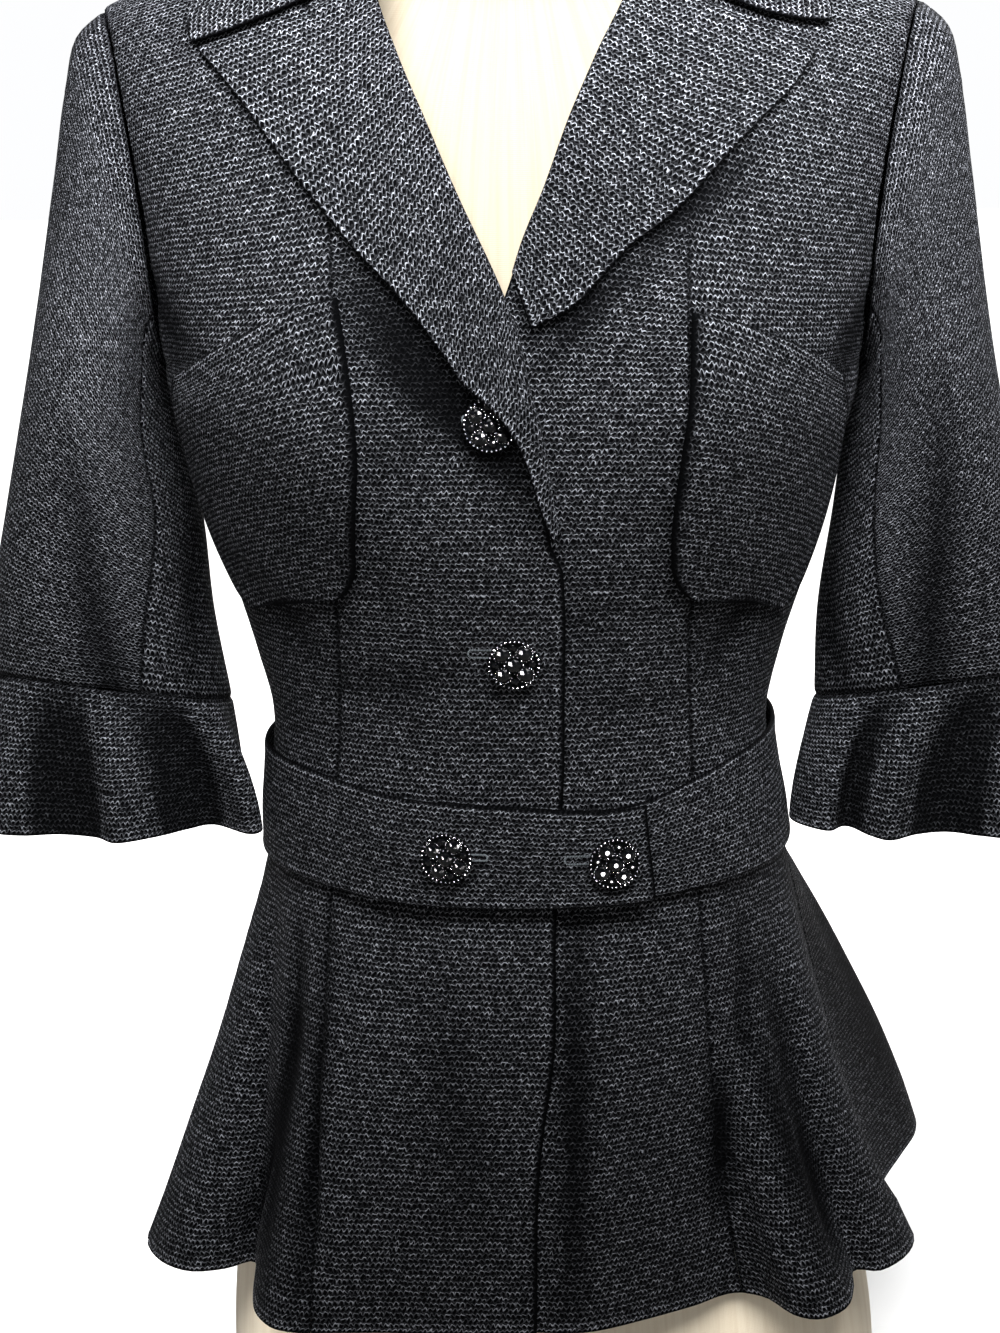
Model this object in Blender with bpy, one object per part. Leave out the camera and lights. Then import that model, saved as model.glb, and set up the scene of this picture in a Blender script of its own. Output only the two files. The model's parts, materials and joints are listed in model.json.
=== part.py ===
"""A black peplum jacket with its own belt, buttoned on a limbless dress form.

Metres and degrees. The front faces -Y, the wearer's left is +X, and the form's flat underside lies on z = 0.
A place on the jacket's body is a girth angle and a height. Angle 0 is the centre front, 90 the wearer's left
side, -90 the right side and 180 the centre back. Up to the underarm the height is the real one. From there up to
SHOULDER it only counts along the arch that the cloth makes over the chest or the back to the shoulder seam.
"""

import math

import bpy
import numpy as np

# Cloth
CLOTH = 0.002
SEAM_GAP = 0.0004
OVERLAP = 0.0026

# Levels
HEM = 0.120
FLARE_TOP = 0.322
UNDERARM = 0.555
SHOULDER = 0.755
NAPE = 0.683
BREAK = 0.575

# Body
SHOULDER_SPREAD = 0.23
SHOULDER_ROUND = 0.8
SEAM_FORWARD = 0.006
BUST = {"out": 0.084, "up": 0.535, "rise": 0.012, "wide": 0.042, "tall": 0.055}

# Rings of the jacket's outer face, from the top of the flare to the underarm
BODY_RINGS = (
    # height, half width, front depth, back depth, squareness, middle
    (0.322, 0.1262, 0.0980, 0.0925, 2.2, 0.0042),
    (0.340, 0.1252, 0.0968, 0.0905, 2.2, 0.0030),
    (0.362, 0.1222, 0.0950, 0.0885, 2.2, 0.0018),
    (0.385, 0.1203, 0.0938, 0.0870, 2.2, 0.0015),
    (0.420, 0.1275, 0.0970, 0.0895, 2.25, 0.0014),
    (0.450, 0.1365, 0.1025, 0.0935, 2.35, 0.0018),
    (0.480, 0.1452, 0.1088, 0.0975, 2.5, 0.0012),
    (0.515, 0.1540, 0.1132, 0.1018, 2.7, 0.0004),
    (0.555, 0.1620, 0.1140, 0.1060, 3.0, 0.0),
    (0.556, 0.1620, 0.1140, 0.1060, 3.0, 0.0),
)

# Height of the shoulder seam's line over its distance from the middle
SHOULDER_LINE = (
    # distance, height
    (0.000, 0.800),
    (0.035, 0.788),
    (0.070, 0.764),
    (0.110, 0.746),
    (0.150, 0.7325),
    (0.190, 0.7185),
    (0.206, 0.7080),
)

# The hem's plan, round from the centre back: the girth angle that each point hangs from, where it hangs, and
# how early its flute opens on the way down
HEM_POINTS = (
    # angle, x, y, early
    (-171, -0.058, 0.142, 0),
    (-164, -0.084, 0.158, 0.1),
    (-158, -0.104, 0.163, 0.1),
    (-152, -0.124, 0.152, 0.1),
    (-146, -0.142, 0.143, 0.1),
    (-140, -0.163, 0.15, 0.1),
    (-134, -0.182, 0.146, 0.1),
    (-128, -0.187, 0.128, 0.1),
    (-122, -0.177, 0.1, 0),
    (-116, -0.166, 0.07, 0),
    (-110, -0.163, 0.04, 0),
    (-104, -0.168, 0.014, -0.1),
    (-98, -0.182, -0.005, -0.2),
    (-93, -0.188, -0.028, -0.2),
    (-88, -0.185, -0.05, -0.2),
    (-84, -0.175, -0.066, -0.2),
    (-80, -0.16, -0.075, -0.2),
    (-76, -0.143, -0.072, -0.2),
    (-72, -0.131, -0.064, -0.2),
    (-68, -0.128, -0.077, -0.2),
    (-63, -0.127, -0.096, -0.2),
    (-58, -0.124, -0.115, -0.3),
    (-53, -0.115, -0.13, -0.3),
    (-47, -0.101, -0.136, -0.1),
    (-40, -0.086, -0.136, 0.1),
    (-30, -0.062, -0.1355, 0.2),
    (-18, -0.033, -0.135, 0.25),
    (0, 0.002, -0.1345, 0.25),
    (18, 0.036, -0.1335, 0.25),
    (30, 0.06, -0.122, 0.2),
    (40, 0.084, -0.108, 0),
    (47, 0.105, -0.095, -0.2),
    (51, 0.118, -0.1, -0.6),
    (55, 0.13, -0.117, -0.9),
    (59, 0.143, -0.12, -0.9),
    (63, 0.156, -0.108, -0.9),
    (67, 0.161, -0.088, -0.8),
    (71, 0.163, -0.071, -0.6),
    (75, 0.176, -0.071, -0.5),
    (79, 0.191, -0.054, -0.5),
    (83, 0.197, -0.032, -0.5),
    (87, 0.191, -0.01, -0.4),
    (91, 0.184, 0.01, -0.1),
    (96, 0.19, 0.032, 0.1),
    (102, 0.203, 0.064, 0.25),
    (108, 0.215, 0.095, 0.4),
    (114, 0.216, 0.12, 0.4),
    (120, 0.2, 0.133, 0.35),
    (126, 0.176, 0.128, 0.2),
    (132, 0.155, 0.126, 0.1),
    (138, 0.143, 0.14, 0.1),
    (144, 0.128, 0.158, 0.1),
    (150, 0.108, 0.163, 0.1),
    (156, 0.088, 0.152, 0.1),
    (163, 0.066, 0.138, 0.1),
    (171, 0.036, 0.136, 0.1),
    (180, 0.004, 0.14, 0),
)


def curve(keys, values):
    """A smooth line through values at keys, held level past both ends."""
    keys = np.asarray(keys, float)
    values = np.asarray(values, float)
    slopes = np.gradient(values, keys, axis=0)

    def at(place):
        place = np.clip(np.asarray(place, float), keys[0], keys[-1])
        low = np.clip(np.searchsorted(keys, place, side="right") - 1, 0, len(keys) - 2)
        span = keys[low + 1] - keys[low]
        t = (place - keys[low]) / span
        if values.ndim > 1:
            t = t[..., None]
            span = span[..., None]
        rise = (3 - 2 * t) * t * t
        return (
            values[low] * (1 - rise)
            + values[low + 1] * rise
            + slopes[low] * span * t * (1 - t) ** 2
            - slopes[low + 1] * span * t * t * (1 - t)
        )

    return at


def table(rows):
    """A smooth line through a table's rows, read by its first column."""
    rows = np.asarray(rows, float)
    values = rows[:, 1] if rows.shape[1] == 2 else rows[:, 1:]
    return curve(rows[:, 0], values)


def ramp(value, start, end):
    """0 up to start and 1 from end on, with a soft rise between."""
    t = np.clip((np.asarray(value, float) - start) / (end - start), 0, 1)
    return t * t * (3 - 2 * t)


def closed_table(rows):
    """As table, for rows that go once round through 360 degrees."""
    rows = np.asarray(rows, float)
    before = rows[-3:].copy()
    before[:, 0] -= 360
    after = rows[:3].copy()
    after[:, 0] += 360
    return table(np.concatenate([before, rows, after]))


body_ring = table(BODY_RINGS)
shoulder_line = table(SHOULDER_LINE)
hem_point = closed_table(HEM_POINTS)


def oval(angle, half, front, back, square):
    """x and y of a rounded oval that is deeper at the front than at the back."""
    a = np.radians(angle)
    side = np.abs(np.sin(a)) / half
    depth = np.abs(np.cos(a)) / np.where(np.cos(a) > 0, front, back)
    reach = (side**square + depth**square) ** (-1 / square)
    return reach * np.sin(a), -reach * np.cos(a)


def ring(angle, height):
    """Outer face of the cloth between the flare and the underarm."""
    half, front, back, square, middle = np.moveaxis(body_ring(height), -1, 0)
    x, y = oval(angle, half, front, back, square)
    return x + middle, y


def body_point(angle, height):
    """Outer face of the jacket's body, with its flutes below and its shoulders above."""
    angle, height = np.broadcast_arrays(np.asarray(angle, float), np.asarray(height, float))
    turned = (angle + 180) % 360 - 180
    x, y = ring(turned, np.clip(height, FLARE_TOP, UNDERARM))
    z = np.minimum(height, UNDERARM)

    fall = np.clip((FLARE_TOP - height) / (FLARE_TOP - HEM), 0, 1)
    hem = hem_point(turned)
    grown = fall * (1 + hem[..., 2] * (1 - fall))
    x = x + (hem[..., 0] - x) * grown
    y = y + (hem[..., 1] - y) * grown

    arch = np.radians(90 * np.clip((height - UNDERARM) / (SHOULDER - UNDERARM), 0, 1))
    reach = np.abs(x) * (1 + SHOULDER_SPREAD * (x / 0.162) ** 2)
    spread = 0.6 * np.sin(arch) + 0.4 * (1 - np.cos(arch))
    top = shoulder_line(reach)
    x = x + np.sign(x) * (reach - np.abs(x)) * spread
    y = SEAM_FORWARD + (y - SEAM_FORWARD) * np.cos(arch) ** SHOULDER_ROUND
    z = z + (top - UNDERARM) * np.sin(arch)

    across = (np.abs(x) - BUST["out"]) / BUST["wide"]
    upward = (z - BUST["up"]) / BUST["tall"]
    front = np.abs(turned) < 90
    y = y - front * BUST["rise"] * np.exp(-(across**2) - upward**2) * ramp(np.cos(np.radians(turned)), 0, 0.5)
    return np.stack([x, y, z], axis=-1)


def outward(angle, height):
    """Unit vector that points out of the cloth."""
    step = 0.4
    rise = 0.0015
    low = np.minimum(height, SHOULDER - rise)
    along = body_point(np.add(angle, step), low) - body_point(np.subtract(angle, step), low)
    up = body_point(angle, np.add(low, rise)) - body_point(angle, np.subtract(low, rise))
    normal = np.cross(along, up)
    return normal / np.linalg.norm(normal, axis=-1, keepdims=True)


def body(angle, height, lift=0.0):
    """A point on the jacket's body, moved out by lift."""
    angle, height, lift = np.broadcast_arrays(*(np.asarray(v, float) for v in (angle, height, lift)))
    return body_point(angle, height) + outward(angle, height) * lift[..., None]


# Meshes


def material(name, colour, roughness, metallic=0.0):
    made = bpy.data.materials.new(name)
    made.use_nodes = True
    shader = made.node_tree.nodes["Principled BSDF"]
    shader.inputs["Base Color"].default_value = (*colour, 1.0)
    shader.inputs["Roughness"].default_value = roughness
    shader.inputs["Metallic"].default_value = metallic
    return made


def add_object(name, points, faces, finish, parent):
    mesh = bpy.data.meshes.new(name)
    mesh.from_pydata([tuple(map(float, p)) for p in points], [], faces)
    mesh.materials.append(finish)
    mesh.shade_smooth()
    mesh.set_sharp_from_angle(angle=math.radians(40))
    made = bpy.data.objects.new(name, mesh)
    bpy.context.scene.collection.objects.link(made)
    made.parent = parent
    return made


def grid_normals(grid, wraps):
    """Unit normals of a grid of points, rows along and columns across."""
    if wraps:
        across = np.roll(grid, -1, axis=1) - np.roll(grid, 1, axis=1)
    else:
        across = np.gradient(grid, axis=1)
    along = np.gradient(grid, axis=0)
    normal = np.cross(across, along)
    return normal / np.linalg.norm(normal, axis=-1, keepdims=True)


def wall_faces(rows, columns, wraps):
    """Quads of a closed wall: the outer face, the inner face and the rim."""
    inner = rows * columns
    faces = []
    last = columns if wraps else columns - 1
    for r in range(rows - 1):
        for c in range(last):
            a = r * columns + c
            b = r * columns + (c + 1) % columns
            faces.append((a, b, b + columns, a + columns))
            faces.append((a + inner, a + columns + inner, b + columns + inner, b + inner))
    for c in range(last):
        a = c
        b = (c + 1) % columns
        faces.append((b, a, a + inner, b + inner))
        a += (rows - 1) * columns
        b += (rows - 1) * columns
        faces.append((a, b, b + inner, a + inner))
    if not wraps:
        for r in range(rows - 1):
            a = r * columns
            faces.append((a, a + columns, a + columns + inner, a + inner))
            a += columns - 1
            faces.append((a + columns, a, a + inner, a + columns + inner))
    return faces


def wall(name, outer, finish, parent, thickness=CLOTH, wraps=False, inner=None):
    """Cloth as a closed wall. Rows go up and columns go round with the outer face towards the viewer."""
    rows, columns = outer.shape[:2]
    if inner is None:
        inner = outer - grid_normals(outer, wraps) * thickness
    points = np.concatenate([outer.reshape(-1, 3), inner.reshape(-1, 3)])
    return add_object(name, points, wall_faces(rows, columns, wraps), finish, parent)


def turned(name, profile, steps, finish, parent, centre=(0, 0, 0), axis=(0, 0, 1)):
    """A solid turned round axis from rows of radius and height, which start and end on the axis."""
    axis = np.asarray(axis, float) / np.linalg.norm(axis)
    side = np.cross(axis, (1.0, 0.0, 0.0) if abs(axis[2]) > 0.7 else (0.0, 0.0, 1.0))
    side = side / np.linalg.norm(side)
    other = np.cross(axis, side)
    points = [np.asarray(centre) + axis * profile[0][1]]
    for radius, up in profile[1:-1]:
        for i in range(steps):
            a = 2 * math.pi * i / steps
            points.append(centre + axis * up + (side * math.cos(a) + other * math.sin(a)) * radius)
    points.append(np.asarray(centre) + axis * profile[-1][1])
    faces = []
    rings = len(profile) - 2
    for i in range(steps):
        j = (i + 1) % steps
        faces.append((0, 1 + j, 1 + i))
        for r in range(rings - 1):
            low = 1 + r * steps
            faces.append((low + i, low + j, low + steps + j, low + steps + i))
        top = 1 + (rings - 1) * steps
        faces.append((top + i, top + j, len(points) - 1))
    return add_object(name, points, faces, finish, parent)


# Panels of the body

FLARE_ROWS = (0.120, 0.170, 0.222, 0.274)
WAIST_ROWS = (0.322, 0.345, 0.366, 0.387, 0.410, 0.436, 0.468, 0.510)
ARCH_ROWS = (0.555, 0.561, 0.573, 0.595, 0.630, 0.678, 0.722, 0.755)
RIDGE_GAP = 0.00011

# Seams from the hem to the shoulder: the princess seams and the armhole's edge
FRONT_SEAMS = {
    # height, angle
    "right": (
        (0.120, 44.0),
        (0.200, 47.5),
        (0.260, 49.5),
        (0.322, 50.6),
        (0.385, 48.6),
        (0.450, 42.0),
        (0.510, 36.5),
        (0.580, 34.0),
        (0.620, 34.5),
        (0.680, 38.0),
        (0.755, 46.0),
    ),
    "left": (
        (0.120, 47.6),
        (0.200, 46.0),
        (0.260, 46.0),
        (0.322, 46.2),
        (0.385, 48.0),
        (0.446, 42.0),
        (0.510, 37.5),
        (0.574, 35.6),
        (0.613, 35.5),
        (0.680, 38.5),
        (0.755, 46.5),
    ),
}
BACK_SEAM = (
    # height, angle
    (0.120, 132.0),
    (0.318, 132.0),
    (0.385, 133.0),
    (0.460, 138.0),
    (0.555, 140.0),
    (0.640, 137.0),
    (0.755, 129.0),
)
ARMHOLE_IN = 19.2
ARMHOLE_ROUND = 0.3
NECK_BACK_ANGLE = 147.0

# Inner edges of the two fronts: the buttoned edge, then the roll line, then the neck
RIGHT_FRONT_EDGE = (
    # height, angle
    (0.120, 4.3),
    (0.200, 5.3),
    (0.250, 8.8),
    (0.313, 9.4),
    (0.345, 11.5),
    (0.373, 13.3),
    (0.416, 13.5),
    (0.459, 12.5),
    (0.496, 10.9),
    (0.531, 8.3),
    (0.5626, 3.9),
    (0.5753, -0.4),
    (0.597, -9.3),
    (0.615, -15.3),
    (0.636, -20.9),
    (0.671, -26.6),
    (0.710, -30.0),
    (0.755, -31.5),
)
LEFT_FRONT_EDGE = (
    # height, angle
    (0.120, -9.0),
    (0.322, -11.5),
    (0.460, -10.5),
    (0.520, -8.0),
    (0.5626, -3.5),
    (0.5753, 0.2),
    (0.5927, 5.5),
    (0.606, 10.7),
    (0.6187, 14.0),
    (0.6355, 18.6),
    (0.668, 25.8),
    (0.710, 30.0),
    (0.755, 31.5),
)
# Lift of the turned lapels' outer face. The right one rises over the top button.
RIGHT_LAPEL_LIFT = (
    # height on the roll line, lift
    (0.487, 0.0034),
    (0.506, 0.0066),
    (0.531, 0.0098),
    (0.5626, 0.0092),
    (0.5753, 0.0070),
    (0.597, 0.0045),
    (0.615, 0.0036),
    (0.671, 0.0032),
)
LEFT_LAPEL_LIFT = (
    # height on the roll line, lift
    (0.575, 0.0034),
    (0.671, 0.0032),
)
FOLD_GAP = 1.0
front_seam = {side: table(rows) for side, rows in FRONT_SEAMS.items()}
back_seam = table(BACK_SEAM)
right_front_edge = table(RIGHT_FRONT_EDGE)
left_front_edge = table(LEFT_FRONT_EDGE)
right_lapel_lift = table(RIGHT_LAPEL_LIFT)
left_lapel_lift = table(LEFT_LAPEL_LIFT)
DEGREES_PER_METRE = 480.0


def armhole_inset(height):
    """How far the armhole's edge lies from the side seam, in degrees."""
    along = np.clip((height - UNDERARM) / (SHOULDER - UNDERARM) / ARMHOLE_ROUND, 0, 1)
    return ARMHOLE_IN * np.sqrt(np.clip(1 - (1 - along) ** 2, 0, 1))


def gap_angle(angle, height, gap=SEAM_GAP / 2):
    """The girth angle that half a seam's gap takes up there."""
    step = 0.5
    size = np.linalg.norm(body_point(angle + step, height) - body_point(angle - step, height), axis=-1)
    return gap / np.maximum(size, 1e-4)


def overlap_lift(angle):
    """The right front lies on the left one near the buttons."""
    return OVERLAP * ramp(angle, -32, -16)


def panel_heights(top):
    """Rows of a panel from the hem to its top edge. The rows over the chest spread to where that edge lies."""
    arch = np.array(ARCH_ROWS)[:, None]
    arch = UNDERARM + (arch - UNDERARM) * (top - RIDGE_GAP - UNDERARM) / (SHOULDER - UNDERARM)
    low = np.array(FLARE_ROWS + WAIST_ROWS)[:, None] + 0 * arch[:1]
    return np.concatenate([low, arch])


def panel(name, first, last, columns, finish, parent, top=None, lift=None):
    """One panel from the hem up, between two seams given as angles over the height."""
    u = np.linspace(0, 1, columns)[None, :]
    height = panel_heights(np.full_like(u, SHOULDER) if top is None else top(u))
    low = first(height)
    high = last(height)
    angle = low + (high - low) * u
    lifts = 0.0 if lift is None else lift(angle)
    outer = body(angle, height, lifts)
    inner = body(angle, height, lifts - CLOTH)
    ridge = ramp(height, SHOULDER - 0.004, SHOULDER - RIDGE_GAP)
    inner[..., 1] += (outer - inner)[..., 1] * ridge
    return wall(name, outer, finish, parent, inner=inner)


def neckline(u):
    """Top edge of a back: low at the nape, up to the shoulder seam at the side of the neck."""
    reach = (180 - NECK_BACK_ANGLE) / (180 - BACK_SEAM[-1][1])
    along = np.clip(u / reach, 0, 1)
    return NAPE + (SHOULDER - NAPE) * (1 - np.sqrt(np.clip(1 - along**2, 0, 1)))


def fold_inset(edge, height, lift, start):
    """How far a front's edge lies behind the roll line, to leave room for the fold."""
    radius = (lift(height) + CLOTH) / 2
    step = 0.002
    slope = (edge(height + step) - edge(height - step)) / (2 * step * DEGREES_PER_METRE)
    inset = radius * DEGREES_PER_METRE * np.sqrt(1 + slope**2) + FOLD_GAP
    return inset * ramp(height, start - 0.014, start)


def beside(edge, way):
    """An edge moved to its own side of the seam's gap."""
    return lambda h: edge(h) + way * gap_angle(edge(h), h)


def mirrored(edge):
    return lambda h: -edge(h)


def add_panels(cloth, parent):
    def armhole(middle, sign):
        return lambda h: middle + sign * armhole_inset(h)

    def right_edge(height):
        return right_front_edge(height) - fold_inset(right_front_edge, height, right_lapel_lift, 0.485)

    def left_edge(height):
        return left_front_edge(height) + fold_inset(left_front_edge, height, left_lapel_lift, BREAK)

    front_r, front_l = mirrored(front_seam["right"]), front_seam["left"]
    back_r, back_l = mirrored(back_seam), back_seam
    side_r, side_l = armhole(-90, 1), armhole(90, -1)
    rear_r, rear_l = armhole(-90, -1), armhole(90, 1)
    centre_r, centre_l = (lambda h: -180 + 0 * h), (lambda h: 180 + 0 * h)
    panels = (
        # name, from, to, columns, top edge, lift
        ("front_right", beside(front_r, 1), right_edge, 9, None, overlap_lift),
        ("front_left", left_edge, beside(front_l, -1), 9, None, None),
        ("side_front_right", beside(side_r, 1), beside(front_r, -1), 14, None, None),
        ("side_front_left", beside(front_l, 1), beside(side_l, -1), 14, None, None),
        ("side_back_right", beside(back_r, 1), beside(rear_r, -1), 13, None, None),
        ("side_back_left", beside(rear_l, 1), beside(back_l, -1), 13, None, None),
        ("back_right", beside(centre_r, 1), beside(back_r, -1), 9, neckline, None),
        ("back_left", beside(back_l, 1), beside(centre_l, -1), 9, lambda u: neckline(1 - u), None),
    )
    for name, first, last, columns, top, lift in panels:
        panel(name, first, last, columns, cloth, parent, top, lift)


# Sleeves

SLEEVE_RINGS = {
    # height, middle out, half width, half depth, middle forward, share of the cuff's tilt
    "right": (
        (0.530, 0.1980, 0.0365, 0.0640, 0.002, 0.15),
        (0.484, 0.1978, 0.0462, 0.0600, 0.004, 0.45),
        (0.440, 0.1995, 0.0525, 0.0540, 0.007, 0.75),
        (0.398, 0.1975, 0.0580, 0.0490, 0.008, 1.00),
    ),
    "left": (
        (0.530, 0.1955, 0.0360, 0.0640, 0.002, 0.15),
        (0.484, 0.1972, 0.0447, 0.0600, 0.006, 0.45),
        (0.440, 0.1985, 0.0527, 0.0540, 0.008, 0.75),
        (0.398, 0.2027, 0.0578, 0.0490, 0.008, 1.00),
    ),
}
CUFF_TILT_OUT = 0.13
CUFF_TILT_FORWARD = 0.17
# The cap from the armhole outwards: how far out and down its line goes at the underarm and at the shoulder
CAP_STEPS = (
    # out at the underarm, out at the shoulder, forward, down at the underarm, down at the shoulder
    (0.0006, 0.0130, 0.0040, 0.004, 0.011),
    (0.0016, 0.0202, 0.0075, 0.011, 0.035),
)
CAP_SHARE = 0.25
SLEEVE_EDGE_GAP = 0.0007
SIGN = {"right": -1, "left": 1}


def armhole_edge(sign, share):
    """The armhole's seam by the share of its length: 0 at the underarm, 0.5 at the shoulder, 1 back again."""
    height = np.array(ARCH_ROWS)
    height[-1] -= RIDGE_GAP
    front = body_point(sign * (90 - armhole_inset(height)), height)
    back = body_point(sign * (90 + armhole_inset(height)), height)
    shares = []
    for line in (front, back):
        length = np.concatenate([[0], np.cumsum(np.linalg.norm(np.diff(line, axis=0), axis=1))])
        shares.append(length / length[-1] / 2)
    loop = np.concatenate([front, back[::-1]])
    keys = np.concatenate([shares[0], 1 - shares[1][::-1]])
    return np.stack([np.interp(share, keys, loop[:, k]) for k in range(3)], axis=-1)


def sleeve_ring(sign, around, row):
    """One oval of the sleeve. Around is 0 at the underarm, 90 in front, 180 outside and 270 at the back."""
    height, out, half, depth, forward, tilt = row
    a = np.radians(around)
    reach = out - half * np.cos(a)
    y = -forward - depth * np.sin(a)
    z = height + tilt * (CUFF_TILT_OUT * (reach - 0.195) - CUFF_TILT_FORWARD * y)
    return np.stack([sign * reach, y, z], axis=-1)


def sleeve_lines(side, around):
    """The lines that each angle of a sleeve runs along, from the armhole to the cuff's seam."""
    sign = SIGN[side]
    start = armhole_edge(sign, np.mod(around, 360) / 360)
    a = np.radians(around)
    outer = 0.5 - 0.5 * np.cos(a)
    lines = [start]
    for low_out, high_out, forward, low_down, high_down in CAP_STEPS:
        out = sign * (low_out + (high_out - low_out) * outer**0.8)
        down = low_down + (high_down - low_down) * outer
        lines.append(start + np.stack([out, -forward * np.sin(a), -down], axis=-1))
    rings = [sleeve_ring(sign, around, row) for row in SLEEVE_RINGS[side]]
    lines.append(lines[-1] + (rings[0] - lines[-1]) * CAP_SHARE)
    away = lines[1] - start
    lines[0] = start + away * (SLEEVE_EDGE_GAP / np.linalg.norm(away, axis=-1, keepdims=True))
    return np.stack(lines + rings)


def sleeve_point(side, around, along):
    """Outer face of a sleeve, from the armhole at 0 to the cuff's seam at 1."""
    around = np.asarray(around, float)
    lines = sleeve_lines(side, around)
    columns = []
    for i in range(len(around)):
        line = lines[:, i]
        length = np.concatenate([[0], np.cumsum(np.linalg.norm(np.diff(line, axis=0), axis=1))])
        columns.append(curve(length, line)(along[i] * length[-1]))
    return np.stack(columns)


# Seams of the two-piece sleeve: the angle around over the way along
SLEEVE_FRONT_SEAM = ((0.0, 42.0), (0.5, 45.0), (1.0, 68.0))
SLEEVE_BACK_SEAM = ((0.0, 300.0), (0.5, 305.0), (1.0, 300.0))
SLEEVE_ROWS = (1.0, 0.86, 0.72, 0.58, 0.45, 0.33, 0.22, 0.13, 0.06, 0.0)
front_sleeve_seam = table(SLEEVE_FRONT_SEAM)
back_sleeve_seam = table(SLEEVE_BACK_SEAM)
SLEEVE_SEAM_GAP = 0.25


def sleeve_piece(name, side, start, end, columns, finish, parent):
    grid = []
    for along in SLEEVE_ROWS:
        step = (end(along) - start(along)) / (columns - 1)
        around = start(along) + step * np.arange(-1, columns + 1)
        grid.append(sleeve_point(side, around, np.full(columns + 2, along)))
    outer = np.stack(grid)
    if side == "right":
        outer = outer[:, ::-1]
    normal = grid_normals(outer, False)[:, 1:-1]
    outer = outer[:, 1:-1]
    normal[0] = level(normal[0])
    return wall(name, outer, finish, parent, inner=outer - normal * CLOTH)


def level(normals):
    """Normals turned level, so that a wall's edge ends flush with its neighbour's."""
    flat = normals * (1, 1, 0)
    return flat / np.linalg.norm(flat, axis=-1, keepdims=True)


def add_sleeves(cloth, parent):
    for side in ("right", "left"):
        sleeve_piece(
            f"sleeve_upper_{side}",
            side,
            lambda t: front_sleeve_seam(t) + SLEEVE_SEAM_GAP,
            lambda t: back_sleeve_seam(t) - SLEEVE_SEAM_GAP,
            18,
            cloth,
            parent,
        )
        sleeve_piece(
            f"sleeve_under_{side}",
            side,
            lambda t: back_sleeve_seam(t) - 360 + SLEEVE_SEAM_GAP,
            lambda t: front_sleeve_seam(t) - SLEEVE_SEAM_GAP,
            9,
            cloth,
            parent,
        )


# Flounces

FLOUNCE_HEM = 0.335
FLOUNCE_DROP = 0.0005
FLOUNCE_COLUMNS = 44
FLOUNCE_BOW = 0.8
# Plan of each flounce's hem, from the underarm's side round by the front
FLOUNCE_HEMS = {
    "right": (
        # around, out, y
        (0, 0.134, -0.006),
        (14, 0.130, -0.026),
        (28, 0.121, -0.046),
        (40, 0.128, -0.052),
        (52, 0.146, -0.036),
        (64, 0.157, -0.043),
        (76, 0.170, -0.056),
        (88, 0.188, -0.067),
        (100, 0.200, -0.057),
        (112, 0.217, -0.052),
        (126, 0.236, -0.054),
        (140, 0.252, -0.049),
        (156, 0.263, -0.030),
        (174, 0.272, -0.010),
        (192, 0.270, 0.010),
        (210, 0.262, 0.030),
        (228, 0.246, 0.040),
        (246, 0.231, 0.054),
        (264, 0.210, 0.050),
        (282, 0.190, 0.058),
        (300, 0.170, 0.048),
        (318, 0.154, 0.046),
        (338, 0.142, 0.022),
    ),
    "left": (
        # around, out, y
        (0, 0.136, -0.004),
        (16, 0.132, -0.026),
        (32, 0.138, -0.040),
        (48, 0.150, -0.049),
        (60, 0.158, -0.041),
        (72, 0.167, -0.057),
        (86, 0.177, -0.065),
        (98, 0.190, -0.055),
        (110, 0.204, -0.051),
        (124, 0.219, -0.058),
        (138, 0.236, -0.062),
        (152, 0.254, -0.044),
        (168, 0.266, -0.028),
        (186, 0.274, -0.004),
        (204, 0.264, 0.016),
        (222, 0.254, 0.040),
        (240, 0.232, 0.046),
        (258, 0.216, 0.058),
        (276, 0.194, 0.050),
        (294, 0.176, 0.054),
        (312, 0.158, 0.042),
        (330, 0.148, 0.034),
        (345, 0.140, 0.014),
    ),
}


def flounce_point(side, around, share):
    sign = SIGN[side]
    top = sleeve_ring(sign, around, SLEEVE_RINGS[side][-1]) - (0, 0, FLOUNCE_DROP)
    out, y = np.moveaxis(closed_table(FLOUNCE_HEMS[side])(np.mod(around, 360)), -1, 0)
    hem = np.stack([sign * out, y, np.full_like(y, FLOUNCE_HEM)], axis=-1)
    grown = share * (1 + FLOUNCE_BOW * (1 - share))
    plan = top + (hem - top) * grown
    plan[..., 2] = (top + (hem - top) * share)[..., 2]
    return plan


def add_flounces(cloth, parent):
    around = np.arange(FLOUNCE_COLUMNS) * 360 / FLOUNCE_COLUMNS
    share = np.linspace(1, 0, 5)
    for side in ("right", "left"):
        outer = np.stack([flounce_point(side, around, s) for s in share])
        if side == "right":
            outer = outer[:, ::-1]
        normal = level(grid_normals(outer, True))
        wall(f"flounce_{side}", outer, cloth, parent, wraps=True, inner=outer - normal * CLOTH)


# Lapels and collar

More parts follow.
